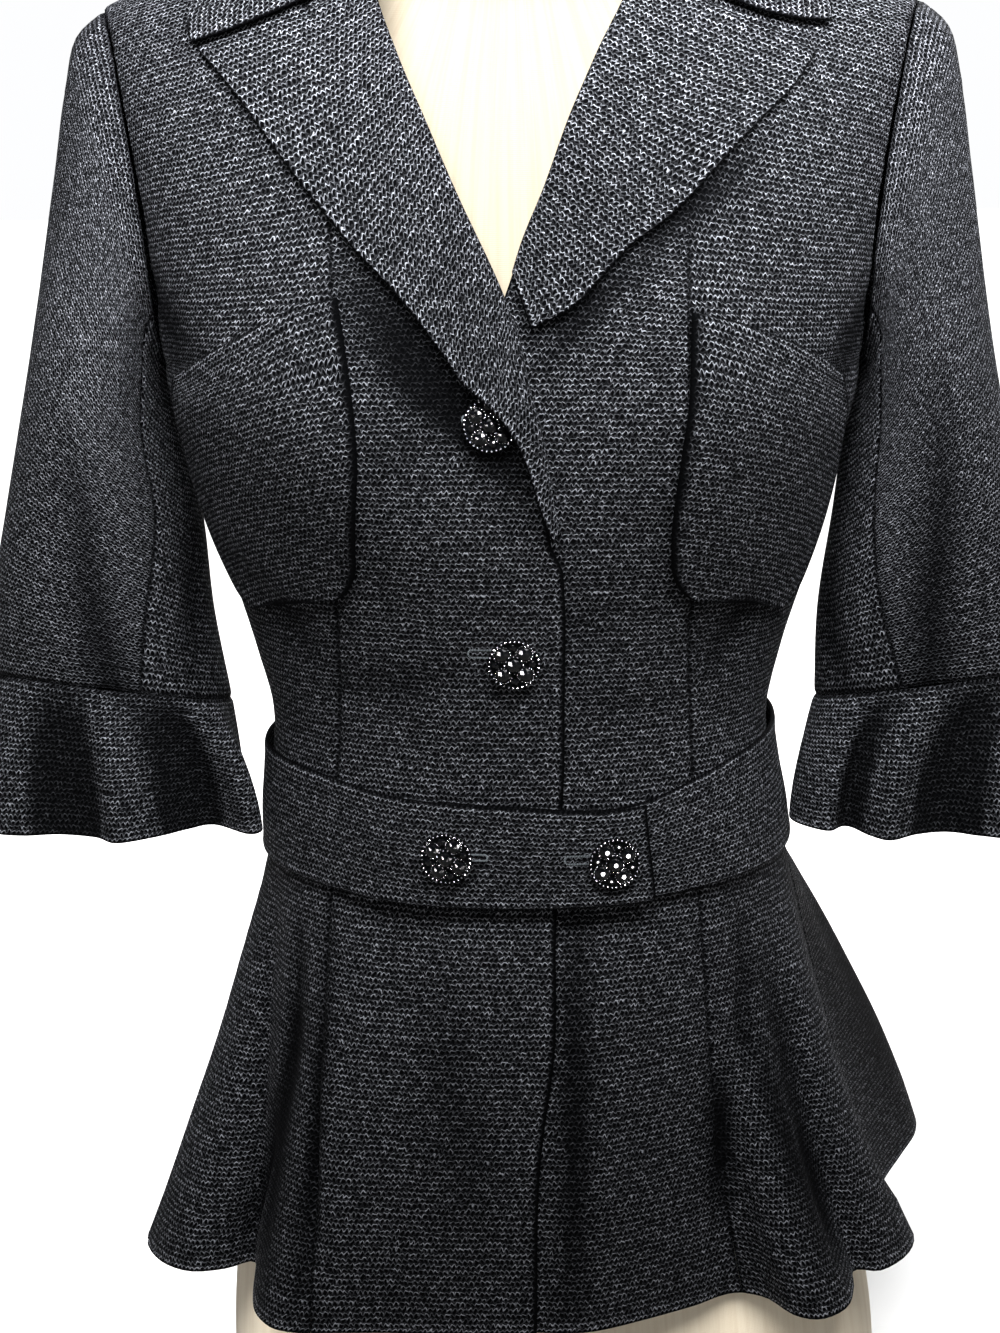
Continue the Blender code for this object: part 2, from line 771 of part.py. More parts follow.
RIGHT_LAPEL = (
    # share, roll angle, roll height, edge angle, edge height, bow of the row
    (0.00, 11.2, 0.4900, 9.8, 0.4865, 0.0),
    (0.10, 10.0, 0.5060, 7.2, 0.5010, 0.0),
    (0.20, 8.3, 0.5310, 3.6, 0.5255, 0.0),
    (0.32, 3.9, 0.5626, -2.5, 0.5430, 0.0),
    (0.42, -0.4, 0.5753, -10.0, 0.5560, 0.0),
    (0.55, -9.3, 0.5970, -21.5, 0.5752, 0.0),
    (0.68, -15.3, 0.6150, -31.0, 0.5925, 0.0),
    (0.82, -20.9, 0.6360, -41.4, 0.6208, 0.0),
    (0.92, -24.3, 0.6540, -48.5, 0.6490, 0.0),
    (1.00, -26.4, 0.6695, -53.2, 0.6700, 0.0),
)
LEFT_LAPEL = (
    # share, roll angle, roll height, edge angle, edge height, bow of the row
    (0.00, 1.4, 0.5795, 5.6, 0.5670, 0.0),
    (0.20, 4.0, 0.5880, 15.5, 0.5735, 0.0),
    (0.40, 8.6, 0.6005, 25.0, 0.5880, 0.0),
    (0.60, 13.4, 0.6170, 34.5, 0.6030, 0.0),
    (0.80, 18.8, 0.6360, 45.0, 0.6310, 0.0),
    (0.92, 23.4, 0.6550, 50.6, 0.6500, 0.0015),
    (1.00, 25.9, 0.6690, 53.2, 0.6650, 0.0045),
)
LAPEL_COLUMNS = 7
FOLD_STEPS = 5


def lapel(name, sign, rows, lift_at, base, count, finish, parent):
    """A lapel: flat on the front from its outer edge to the roll line, then folded back under to the front's edge."""
    line = table(rows)
    outer, inner = [], []
    for share in np.linspace(0, 1, count):
        roll, roll_up, edge, edge_up, bow = line(share)
        lift = lift_at(roll_up)
        radius = (lift + CLOTH) / 2
        hollow = radius - CLOTH
        middle = lift - radius
        length = math.hypot((edge - roll) / DEGREES_PER_METRE, edge_up - roll_up)
        flat = min(radius / length, 0.8)
        across = np.linspace(1, 0, LAPEL_COLUMNS)
        start = roll + (edge - roll) * flat
        start_up = roll_up + (edge_up - roll_up) * flat
        angle = start + (edge - start) * across
        height = start_up + (edge_up - start_up) * across + 4 * bow * across * (1 - across)
        base_lift = base(angle)
        top = list(body(angle, height, base_lift + lift))
        under = list(body(angle, height, base_lift + lift - CLOTH))
        bottom = base(np.array([start]))[0]
        for step in range(1, FOLD_STEPS + 1):
            turn = math.radians(90 + 180 * step / FOLD_STEPS)
            back = 1 + math.cos(turn)
            place = roll + (start - roll) * back
            place_up = roll_up + (start_up - roll_up) * back
            top.append(body(place, place_up, bottom + middle + radius * math.sin(turn)))
            back = 1 + hollow / radius * math.cos(turn)
            place = roll + (start - roll) * back
            place_up = roll_up + (start_up - roll_up) * back
            under.append(body(place, place_up, bottom + middle + hollow * math.sin(turn)))
        outer.append(np.array(top))
        inner.append(np.array(under))
    outer, inner = np.array(outer), np.array(inner)
    if sign > 0:
        outer, inner = outer[:, ::-1], inner[:, ::-1]
    return wall(name, outer, finish, parent, inner=inner)


def add_lapels(cloth, parent):
    lapel("lapel_right", -1, RIGHT_LAPEL, right_lapel_lift, overlap_lift, 15, cloth, parent)
    lapel("lapel_left", 1, LEFT_LAPEL, left_lapel_lift, lambda a: 0.0 * a, 11, cloth, parent)


# The collar's rows from the right gorge to the left one
COLLAR_STAND = 0.027
COLLAR_LIFT = 0.0032
COLLAR_ROWS = (
    # neck angle, neck height, edge angle, edge height, bow of the row, share of the stand
    (-28.3, 0.6710, -53.8, 0.6735, 0.0000, 0.00),
    (-29.4, 0.6900, -54.2, 0.6870, 0.0000, 0.22),
    (-30.8, 0.7120, -52.6, 0.7020, 0.0000, 0.50),
    (-31.5, 0.7340, -50.5, 0.7220, 0.0000, 0.80),
    (-31.8, 0.7530, -48.7, 0.7500, 0.0000, 0.95),
    (-147.6, 0.7500, -130.0, 0.7530, 0.0000, 1.00),
    (-149.0, 0.7307, -131.0, 0.7400, 0.0000, 1.00),
    (-155.0, 0.7084, -138.0, 0.7080, 0.0000, 1.00),
    (-163.0, 0.6937, -150.0, 0.6800, 0.0000, 1.00),
    (-171.5, 0.6858, -165.0, 0.6670, 0.0000, 1.00),
    (-180.0, 0.6834, -180.0, 0.6630, 0.0000, 1.00),
    (171.5, 0.6858, 165.0, 0.6670, 0.0000, 1.00),
    (163.0, 0.6937, 150.0, 0.6800, 0.0000, 1.00),
    (155.0, 0.7084, 138.0, 0.7080, 0.0000, 1.00),
    (149.0, 0.7307, 131.0, 0.7400, 0.0000, 1.00),
    (147.6, 0.7500, 130.0, 0.7530, 0.0000, 1.00),
    (31.8, 0.7530, 48.7, 0.7500, 0.0000, 0.95),
    (31.5, 0.7340, 50.5, 0.7230, 0.0000, 0.80),
    (30.8, 0.7120, 52.8, 0.7050, 0.0000, 0.50),
    (29.4, 0.6900, 54.6, 0.6920, -0.0020, 0.22),
    (27.8, 0.6710, 54.8, 0.6815, -0.0045, 0.00),
)
COLLAR_FALL = np.array([1.0, 0.82, 0.62, 0.42, 0.24, 0.10, 0.0])
COLLAR_FOLD_STEPS = 4
COLLAR_STAND_STEPS = np.array([0.5, 0.0])


def collar_section(row):
    """One row of the collar: up the fall from its edge, round the fold and down the stand on the neck's side."""
    neck, neck_up, edge, edge_up, bow, share = row
    normal = outward(neck, neck_up)
    seat = body_point(neck, neck_up)
    aside = body_point(neck + (edge - neck) * 0.02, neck_up + (edge_up - neck_up) * 0.02) - seat
    aside = aside - normal * (aside @ normal)
    aside = aside / np.linalg.norm(aside)
    radius = (COLLAR_LIFT + CLOTH) / 2
    lean = math.radians(4 + 62 * share**0.7)
    up = -aside * math.cos(lean) + normal * math.sin(lean)
    out = aside * math.sin(lean) + normal * math.cos(lean)
    stand = radius + (COLLAR_STAND - radius) * share
    bottom = seat - out * CLOTH * math.cos(lean) + up * 0.0024
    turn_from = bottom + up * (stand - radius)
    centre = turn_from + out * radius
    angle = neck + (edge - neck) * COLLAR_FALL
    height = neck_up + (edge_up - neck_up) * COLLAR_FALL + 4 * bow * COLLAR_FALL * (1 - COLLAR_FALL)
    laid = body(angle, height, COLLAR_LIFT)
    top = centre + out * radius
    straight = top + (laid[0] - top) * COLLAR_FALL[:, None]
    blend = ramp(COLLAR_FALL, 0.15, 0.95)[:, None]
    points = list((straight * (1 - blend) + laid * blend)[:-1])
    for step in range(COLLAR_FOLD_STEPS + 1):
        turn = math.pi * step / COLLAR_FOLD_STEPS
        points.append(centre + out * radius * math.cos(turn) + up * radius * math.sin(turn))
    for left in COLLAR_STAND_STEPS:
        points.append(bottom + (turn_from - bottom) * left - up * 0.0004 * (1 - left))
    return np.array(points)


def add_collar(cloth, parent):
    outer = np.array([collar_section(row) for row in COLLAR_ROWS])
    normal = -grid_normals(outer, False)
    wall("collar", outer[::-1], cloth, parent, inner=(outer - normal * CLOTH)[::-1])


# Belt

BELT_THICK = 0.0024
BELT_EDGES = (
    # angle, lower edge, upper edge
    (-180, 0.330, 0.380),
    (-90, 0.320, 0.374),
    (-60, 0.318, 0.372),
    (-30, 0.316, 0.366),
    (0, 0.3155, 0.3625),
    (30, 0.3165, 0.3610),
    (60, 0.320, 0.376),
    (90, 0.324, 0.384),
    (180, 0.330, 0.380),
)
BELT_LIFT = 0.0017
UNDER_BAND_LIFT = 0.0046
TAB_BAND_LIFT = 0.0078
belt_edges = table(BELT_EDGES)


def belt_point(angle, height, lift):
    """The belt keeps to a plain oval round the waist and doesn't follow the flutes."""
    x, y = ring(angle, height)
    half = 0.4
    x2, y2 = ring(np.add(angle, half), height)
    x1, y1 = ring(np.subtract(angle, half), height)
    along = np.stack([x2 - x1, y2 - y1], axis=-1)
    along = along / np.linalg.norm(along, axis=-1, keepdims=True)
    return np.stack([x + along[..., 1] * lift, y - along[..., 0] * lift, height + 0 * x], axis=-1)


def tab_lift(angle):
    return BELT_LIFT + (TAB_BAND_LIFT - BELT_LIFT) * ramp(angle, -55, -27)


def under_lift(angle):
    return BELT_LIFT + (UNDER_BAND_LIFT - BELT_LIFT) * ramp(-angle, -45, -18)


def band(name, angles, lift, finish, parent):
    low, high = np.moveaxis(belt_edges(angles), -1, 0)
    share = np.linspace(0, 1, 4)[:, None]
    height = low + (high - low) * share
    angle = angles + 0 * share
    inner = belt_point(angle, height, lift(angle))
    outer = belt_point(angle, height, lift(angle) + BELT_THICK)
    return wall(name, outer, finish, parent, inner=inner)


def add_belt(cloth, parent):
    gap = 0.1
    band("belt_tab_band", np.linspace(-180 + gap, 33, 29), tab_lift, cloth, parent)
    band("belt_under_band", np.linspace(-20, 180 - gap, 27), under_lift, cloth, parent)


# Pockets

POCKET_LIFT = 0.0012
POCKET_EDGES = {
    # share of the height, inner edge's angle, outer edge's angle
    "right": ((0.0, 35.6, 70.0), (0.25, 33.0, 73.5), (0.55, 30.4, 73.0), (0.8, 30.8, 69.0), (1.0, 32.7, 65.0)),
    "left": ((0.0, 36.2, 70.0), (0.25, 34.2, 73.0), (0.55, 34.6, 72.0), (0.8, 35.6, 68.5), (1.0, 35.7, 65.0)),
}
POCKET_LEVELS = {
    # share of the width, lower edge's height, upper edge's height
    "right": ((0.0, 0.4590, 0.5780), (0.25, 0.4565, 0.5755), (0.5, 0.4530, 0.5690), (1.0, 0.4440, 0.5553)),
    "left": ((0.0, 0.4580, 0.5735), (0.25, 0.4555, 0.5715), (0.5, 0.4520, 0.5670), (1.0, 0.4425, 0.5540)),
}
POCKET_COLUMNS = 10
POCKET_ROWS = np.array([0.0, 0.008, 0.035, 0.08, 0.14, 0.24, 0.36, 0.48, 0.60, 0.72, 0.83, 0.92, 1.0])


def pocket(name, side, finish, parent):
    edges = table(POCKET_EDGES[side])
    levels = table(POCKET_LEVELS[side])
    v = POCKET_ROWS[:, None]
    corner = np.clip(1 - v / 0.14, 0, 1)
    inset = 0.17 * (1 - np.sqrt(1 - corner**2))
    u = inset + (1 - 2 * inset) * np.linspace(0, 1, POCKET_COLUMNS)[None, :]
    inner_edge, outer_edge = np.moveaxis(edges(v[:, 0]), -1, 0)
    angle = inner_edge[:, None] + (outer_edge - inner_edge)[:, None] * u
    low, high = np.moveaxis(levels(u), -1, 0)
    height = low + (high - low) * v
    angle = SIGN[side] * angle
    if side == "right":
        angle, height = angle[:, ::-1], height[:, ::-1]
    outer = body(angle, height, POCKET_LIFT + CLOTH)
    inner = body(angle, height, POCKET_LIFT)
    return wall(name, outer, finish, parent, inner=inner)


def add_pockets(cloth, parent):
    for side in ("right", "left"):
        pocket(f"pocket_{side}", side, cloth, parent)


# Buttons

BUTTON_STEPS = 16
BUTTON_PROFILE = (
    # radius, height
    (0.0, 0.0),
    (0.0048, 0.0),
    (0.0048, 0.0012),
    (0.0112, 0.0012),
    (0.0122, 0.0026),
    (0.0104, 0.0042),
    (0.0052, 0.0046),
    (0.0036, 0.0056),
    (0.0, 0.0058),
)


def add_buttons(jet, parent):
    seats = (
        ("button_front_top", body_point(-3.6, 0.5378), outward(-3.6, 0.5378), OVERLAP),
        ("button_front_middle", body_point(0.2, 0.4300), outward(0.2, 0.4300), OVERLAP),
        ("button_belt_right", belt_point(-18.0, 0.340, 0.0), outward(-18.0, 0.36), TAB_BAND_LIFT + BELT_THICK),
        ("button_belt_left", belt_point(23.5, 0.337, 0.0), outward(23.5, 0.36), TAB_BAND_LIFT + BELT_THICK),
    )
    for name, seat, normal, lift in seats:
        if "belt" in name:
            normal = normal * (1, 1, 0)
            normal = normal / np.linalg.norm(normal)
        turned(name, BUTTON_PROFILE, BUTTON_STEPS, jet, parent, seat + normal * (lift + SEAM_GAP), normal)


# Dress form

FORM_RINGS = (
    # height, half width, front depth, back depth, squareness, middle across, middle back
    (0.000, 0.1648, 0.1020, 0.1010, 2.2, 0.0160, 0.000),
    (0.070, 0.1640, 0.1040, 0.1040, 2.2, 0.0150, 0.000),
    (0.130, 0.1560, 0.1030, 0.1040, 2.2, 0.0125, 0.000),
    (0.190, 0.1450, 0.1000, 0.1000, 2.2, 0.0100, 0.000),
    (0.250, 0.1310, 0.0950, 0.0930, 2.2, 0.0075, 0.000),
    (0.310, 0.1180, 0.0905, 0.0860, 2.2, 0.0042, 0.000),
    (0.350, 0.1145, 0.0880, 0.0825, 2.2, 0.0025, 0.000),
    (0.385, 0.1128, 0.0865, 0.0800, 2.2, 0.0015, 0.000),
    (0.430, 0.1210, 0.0900, 0.0830, 2.25, 0.0014, 0.000),
    (0.480, 0.1370, 0.0990, 0.0895, 2.4, 0.0010, 0.000),
    (0.530, 0.1480, 0.1060, 0.0940, 2.4, 0.0, 0.000),
    (0.580, 0.1510, 0.1040, 0.0970, 2.5, 0.0, 0.000),
    (0.630, 0.1570, 0.0920, 0.0920, 2.6, 0.0, 0.002),
    (0.670, 0.1640, 0.0770, 0.0790, 2.6, 0.0, 0.004),
    (0.700, 0.1620, 0.0620, 0.0640, 2.4, 0.0, 0.006),
    (0.720, 0.1280, 0.0520, 0.0520, 2.2, 0.0, 0.008),
    (0.738, 0.0870, 0.0470, 0.0450, 2.0, 0.0, 0.008),
    (0.755, 0.0660, 0.0460, 0.0430, 2.0, 0.0, 0.008),
    (0.775, 0.0570, 0.0460, 0.0425, 2.0, 0.0, 0.006),
    (0.835, 0.0535, 0.0460, 0.0430, 2.0, 0.0, 0.002),
)
FORM_COLUMNS = 32
form_ring = table(FORM_RINGS)


def form_point(angle, height):
    half, front, back, square, across, rear = np.moveaxis(form_ring(height), -1, 0)
    x, y = oval(angle, half, front, back, square)
    return np.stack([x + across, y + rear, height + 0 * x], axis=-1)


def add_form(linen, wood, parent):
    heights = [row[0] for row in FORM_RINGS]
    angle = np.arange(FORM_COLUMNS) * 360 / FORM_COLUMNS
    points = np.concatenate([form_point(angle, np.full(FORM_COLUMNS, h)) for h in heights])
    count = FORM_COLUMNS
    faces = []
    for r in range(len(heights) - 1):
        for c in range(count):
            a = r * count + c
            b = r * count + (c + 1) % count
            faces.append((a, b, b + count, a + count))
    faces.append(tuple(range(count))[::-1])
    top = (len(heights) - 1) * count
    faces.append(tuple(range(top, top + count)))
    add_object("dress_form", points, faces, linen, parent)
    x, y, z = form_point(np.array([0.0, 180.0]), np.full(2, heights[-1])).mean(axis=0)
    profile = ((0.0, 0.0), (0.046, 0.0), (0.048, 0.003), (0.044, 0.009), (0.020, 0.013), (0.0, 0.014))
    turned("neck_cap", profile, 28, wood, parent, (x, y, z + SEAM_GAP))


def main():
    for old in list(bpy.data.objects):
        bpy.data.objects.remove(old, do_unlink=True)
    root = bpy.data.objects.new("peplum_jacket_on_form", None)
    bpy.context.scene.collection.objects.link(root)
    cloth = material("black_woven_cloth", (0.020, 0.020, 0.024), 0.85)
    jet = material("black_stones", (0.010, 0.010, 0.012), 0.20)
    linen = material("natural_linen", (0.80, 0.72, 0.60), 0.80)
    wood = material("dark_wood", (0.10, 0.06, 0.035), 0.45)
    add_form(linen, wood, root)
    add_panels(cloth, root)
    add_sleeves(cloth, root)
    add_flounces(cloth, root)
    add_lapels(cloth, root)
    add_collar(cloth, root)
    add_belt(cloth, root)
    add_pockets(cloth, root)
    add_buttons(jet, root)


main()
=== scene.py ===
# %% [markdown]
# # A black peplum jacket on a limbless dress form
#
# The jacket is cut from a black crepe with a lively basket weave. It has notched lapels, two curved patch
# pockets, elbow sleeves that end in flounces, a flared peplum and a belt of its own cloth. Four jewelled
# buttons close it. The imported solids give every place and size. This script makes the fine cloth over them,
# with seams, folds, weave and stones.
#
# All lengths are metres. The front faces -Y and the wearer's left is +X.

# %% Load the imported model
import functools
import json
import math

import bpy
import numpy as np
from mathutils import Matrix, Vector

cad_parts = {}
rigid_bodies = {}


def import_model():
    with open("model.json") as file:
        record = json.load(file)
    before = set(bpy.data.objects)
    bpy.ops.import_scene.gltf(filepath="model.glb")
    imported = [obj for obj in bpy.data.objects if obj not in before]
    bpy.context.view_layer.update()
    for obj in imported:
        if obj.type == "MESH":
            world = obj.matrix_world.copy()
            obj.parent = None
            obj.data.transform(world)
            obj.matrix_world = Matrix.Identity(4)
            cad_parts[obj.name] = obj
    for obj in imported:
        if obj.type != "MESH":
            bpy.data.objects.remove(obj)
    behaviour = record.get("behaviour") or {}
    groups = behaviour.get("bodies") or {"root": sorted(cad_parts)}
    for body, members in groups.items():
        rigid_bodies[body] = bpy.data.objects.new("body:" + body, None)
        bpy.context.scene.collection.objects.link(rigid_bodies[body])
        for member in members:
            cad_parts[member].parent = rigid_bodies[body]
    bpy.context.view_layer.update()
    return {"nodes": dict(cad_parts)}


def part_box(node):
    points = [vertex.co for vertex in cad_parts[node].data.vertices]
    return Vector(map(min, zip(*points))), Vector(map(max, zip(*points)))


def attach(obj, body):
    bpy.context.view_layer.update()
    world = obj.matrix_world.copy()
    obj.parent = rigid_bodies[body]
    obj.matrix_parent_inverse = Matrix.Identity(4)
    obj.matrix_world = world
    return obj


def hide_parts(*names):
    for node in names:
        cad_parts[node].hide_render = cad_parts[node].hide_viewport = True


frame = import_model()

print("nodes:", len(frame["nodes"]))

# %% [markdown]
# ## The camera
#
# The camera comes first, because every later choice is judged through it. It stands at the height of the
# chest, about 1.15 m away, looks down by 12.5 degrees and stands a touch to the right of the middle. A
# camera's matrix holds its right, up and back directions as columns, so it can be written down from these
# angles at once. The picture is 1000 by 1333 pixels, so the sensor's 36 mm lie along the tall side.

# %% Camera
CAMERA_AWAY = 1.15
CAMERA_HEIGHT = 0.66
CAMERA_PITCH = math.radians(12.5)
CAMERA_YAW = math.radians(2.0)
CAMERA_ROLL = math.radians(0.7)
CAMERA_AIM = -0.008
SENSOR = 36.0
TALL_PIXELS = 1333.0
LENS_PIXELS = 2403.0
CAMERA_LENS = LENS_PIXELS / TALL_PIXELS * SENSOR


def add_camera():
    data = bpy.data.cameras.new("camera")
    data.lens = CAMERA_LENS
    data.sensor_fit = "AUTO"
    data.sensor_width = SENSOR
    data.clip_start = 0.05
    data.clip_end = 20.0
    made = bpy.data.objects.new("camera", data)
    bpy.context.scene.collection.objects.link(made)
    yaw, pitch, roll = CAMERA_YAW, CAMERA_PITCH, CAMERA_ROLL
    ahead = Vector((-math.sin(yaw) * math.cos(pitch), math.cos(yaw) * math.cos(pitch), -math.sin(pitch)))
    level = Vector((math.cos(yaw), math.sin(yaw), 0.0))
    upright = level.cross(ahead)
    right = level * math.cos(roll) - upright * math.sin(roll)
    up = level * math.sin(roll) + upright * math.cos(roll)
    matrix = Matrix((right, up, -ahead)).transposed().to_4x4()
    matrix.translation = (
        CAMERA_AIM + CAMERA_AWAY * math.sin(yaw),
        -CAMERA_AWAY * math.cos(yaw),
        CAMERA_HEIGHT,
    )
    made.matrix_world = matrix
    bpy.context.scene.camera = made
    return made


camera = add_camera()
print("camera at", [round(v, 3) for v in camera.location], "lens", round(CAMERA_LENS, 1))

# %% [markdown]
# ## Smooth lines through short tables
#
# A tailor's pattern is a few measured points joined by smooth curves. `curve` does the same with Hermite
# pieces: at each key it takes the slope from the neighbours, so the line has no corners.

# %% Curves and ramps
def curve(keys, values):
    """A smooth line through values at keys, held level past both ends."""
    keys = np.asarray(keys, float)
    values = np.asarray(values, float)
    slopes = np.gradient(values, keys, axis=0)

    def at(place):
        place = np.clip(np.asarray(place, float), keys[0], keys[-1])
        low = np.clip(np.searchsorted(keys, place, side="right") - 1, 0, len(keys) - 2)
        span = keys[low + 1] - keys[low]
        t = (place - keys[low]) / span
        if values.ndim > 1:
            t = t[..., None]
            span = span[..., None]
        rise = (3 - 2 * t) * t * t
        return (
            values[low] * (1 - rise)
            + values[low + 1] * rise
            + slopes[low] * span * t * (1 - t) ** 2
            - slopes[low + 1] * span * t * t * (1 - t)
        )

    return at


def table(rows):
    """A smooth line through a table's rows, read by its first column."""
    rows = np.asarray(rows, float)
    values = rows[:, 1] if rows.shape[1] == 2 else rows[:, 1:]
    return curve(rows[:, 0], values)


def ramp(value, start, end):
    """0 up to start and 1 from end on, with a soft rise between."""
    t = np.clip((np.asarray(value, float) - start) / (end - start), 0, 1)
    return t * t * (3 - 2 * t)


def closed_table(rows):
    """As table, for rows that go once round through 360 degrees."""
    rows = np.asarray(rows, float)
    before = rows[-3:].copy()
    before[:, 0] -= 360
    after = rows[:3].copy()
    after[:, 0] += 360
    return table(np.concatenate([before, rows, after]))

print("halfway up a soft ramp:", float(ramp(0.5, 0, 1)))

# %% [markdown]
# ## The jacket's body as one surface
#
# A place on the jacket is a girth angle and a height. Angle 0 is the centre front, 90 the wearer's left side
# and 180 the centre back. Between the flare and the underarm each height has its own rounded oval. Below,
# the cloth falls in flutes to the points of the hem. Above, it arches over the chest or the back to the
# shoulder seam. One surface for all panels means that neighbours always meet.

# %% Measures of the body
UNDERARM = 0.555
HEM = 0.120
FLARE_TOP = 0.322
SHOULDER = 0.755
NAPE = 0.683
BREAK = 0.575
CLOTH = 0.002
SEAM_GAP = 0.0001
OVERLAP = 0.0026
SHOULDER_SPREAD = 0.23
SHOULDER_ROUND = 0.8
SEAM_FORWARD = 0.006
BUST = {"out": 0.084, "up": 0.535, "rise": 0.012, "wide": 0.042, "tall": 0.055}
BODY_RINGS = (
    # height, half width, front depth, back depth, squareness, middle
    (0.322, 0.1262, 0.0980, 0.0925, 2.2, 0.0042), (0.340, 0.1252, 0.0968, 0.0905, 2.2, 0.0030),
    (0.362, 0.1222, 0.0950, 0.0885, 2.2, 0.0018), (0.385, 0.1203, 0.0938, 0.0870, 2.2, 0.0015),
    (0.420, 0.1275, 0.0970, 0.0895, 2.25, 0.0014), (0.450, 0.1365, 0.1025, 0.0935, 2.35, 0.0018),
    (0.480, 0.1452, 0.1088, 0.0975, 2.5, 0.0012), (0.515, 0.1540, 0.1132, 0.1018, 2.7, 0.0004),
    (0.555, 0.1620, 0.1140, 0.1060, 3.0, 0.0), (0.556, 0.1620, 0.1140, 0.1060, 3.0, 0.0),
)
SHOULDER_LINE = (
    # distance, height
    (0.000, 0.800), (0.035, 0.788), (0.070, 0.764), (0.110, 0.746), (0.150, 0.7325), (0.190, 0.7185),
    (0.206, 0.7080),
)
HEM_POINTS = (
    # angle, x, y, early
    (-171, -0.058, 0.142, 0), (-164, -0.084, 0.158, 0.1), (-158, -0.104, 0.163, 0.1),
    (-152, -0.124, 0.152, 0.1), (-146, -0.142, 0.143, 0.1), (-140, -0.163, 0.15, 0.1),
    (-134, -0.182, 0.146, 0.1), (-128, -0.187, 0.128, 0.1), (-122, -0.177, 0.1, 0),
    (-116, -0.166, 0.07, 0), (-110, -0.163, 0.04, 0), (-104, -0.168, 0.014, -0.1),
    (-98, -0.182, -0.005, -0.2), (-93, -0.188, -0.028, -0.2), (-88, -0.185, -0.05, -0.2),
    (-84, -0.175, -0.066, -0.2), (-80, -0.16, -0.075, -0.2), (-76, -0.143, -0.072, -0.2),
    (-72, -0.131, -0.064, -0.2), (-68, -0.128, -0.077, -0.2), (-63, -0.127, -0.096, -0.2),
    (-58, -0.124, -0.115, -0.3), (-53, -0.115, -0.13, -0.3), (-47, -0.101, -0.136, -0.1),
    (-40, -0.086, -0.136, 0.1), (-30, -0.062, -0.1355, 0.2), (-18, -0.033, -0.135, 0.25),
    (0, 0.002, -0.1345, 0.25), (18, 0.036, -0.1335, 0.25), (30, 0.06, -0.122, 0.2), (40, 0.084, -0.108, 0),
    (47, 0.105, -0.095, -0.2), (51, 0.118, -0.1, -0.6), (55, 0.13, -0.117, -0.9), (59, 0.143, -0.12, -0.9),
    (63, 0.156, -0.108, -0.9), (67, 0.161, -0.088, -0.8), (71, 0.163, -0.071, -0.6),
    (75, 0.176, -0.071, -0.5), (79, 0.191, -0.054, -0.5), (83, 0.197, -0.032, -0.5),
    (87, 0.191, -0.01, -0.4), (91, 0.184, 0.01, -0.1), (96, 0.19, 0.032, 0.1), (102, 0.203, 0.064, 0.25),
    (108, 0.215, 0.095, 0.4), (114, 0.216, 0.12, 0.4), (120, 0.2, 0.133, 0.35), (126, 0.176, 0.128, 0.2),
    (132, 0.155, 0.126, 0.1), (138, 0.143, 0.14, 0.1), (144, 0.128, 0.158, 0.1), (150, 0.108, 0.163, 0.1),
    (156, 0.088, 0.152, 0.1), (163, 0.066, 0.138, 0.1), (171, 0.036, 0.136, 0.1), (180, 0.004, 0.14, 0),
)
body_ring = table(BODY_RINGS)
shoulder_line = table(SHOULDER_LINE)
hem_point = closed_table(HEM_POINTS)

print("rings:", len(BODY_RINGS), "hem points:", len(HEM_POINTS))

# %% The body's surface
def oval(angle, half, front, back, square):
    """x and y of a rounded oval that is deeper at the front than at the back."""
    a = np.radians(angle)
    side = np.abs(np.sin(a)) / half
    depth = np.abs(np.cos(a)) / np.where(np.cos(a) > 0, front, back)
    reach = (side**square + depth**square) ** (-1 / square)
    return reach * np.sin(a), -reach * np.cos(a)


def ring(angle, height):
    """Outer face of the cloth between the flare and the underarm."""
    half, front, back, square, middle = np.moveaxis(body_ring(height), -1, 0)
    x, y = oval(angle, half, front, back, square)
    return x + middle, y


def body_point(angle, height):
    """Outer face of the jacket's body, with its flutes below and its shoulders above."""
    angle, height = np.broadcast_arrays(np.asarray(angle, float), np.asarray(height, float))
    turned = (angle + 180) % 360 - 180
    x, y = ring(turned, np.clip(height, FLARE_TOP, UNDERARM))
    z = np.minimum(height, UNDERARM)

    fall = np.clip((FLARE_TOP - height) / (FLARE_TOP - HEM), 0, 1)
    hem = hem_point(turned)
    grown = fall * (1 + hem[..., 2] * (1 - fall))
    x = x + (hem[..., 0] - x) * grown
    y = y + (hem[..., 1] - y) * grown

    arch = np.radians(90 * np.clip((height - UNDERARM) / (SHOULDER - UNDERARM), 0, 1))
    reach = np.abs(x) * (1 + SHOULDER_SPREAD * (x / 0.162) ** 2)
    spread = 0.6 * np.sin(arch) + 0.4 * (1 - np.cos(arch))
    top = shoulder_line(reach)
    x = x + np.sign(x) * (reach - np.abs(x)) * spread
    y = SEAM_FORWARD + (y - SEAM_FORWARD) * np.cos(arch) ** SHOULDER_ROUND
    z = z + (top - UNDERARM) * np.sin(arch)

    across = (np.abs(x) - BUST["out"]) / BUST["wide"]
    upward = (z - BUST["up"]) / BUST["tall"]
    front = np.abs(turned) < 90
    y = y - front * BUST["rise"] * np.exp(-(across**2) - upward**2) * ramp(np.cos(np.radians(turned)), 0, 0.5)
    return np.stack([x, y, z], axis=-1)


def outward(angle, height):
    """Unit vector that points out of the cloth."""
    step = 0.4
    rise = 0.0015
    low = np.minimum(height, SHOULDER - rise)
    along = body_point(np.add(angle, step), low) - body_point(np.subtract(angle, step), low)
    up = body_point(angle, np.add(low, rise)) - body_point(angle, np.subtract(low, rise))
    normal = np.cross(along, up)
    return normal / np.linalg.norm(normal, axis=-1, keepdims=True)

print("half waist:", np.round(body_point(90.0, 0.385), 3))

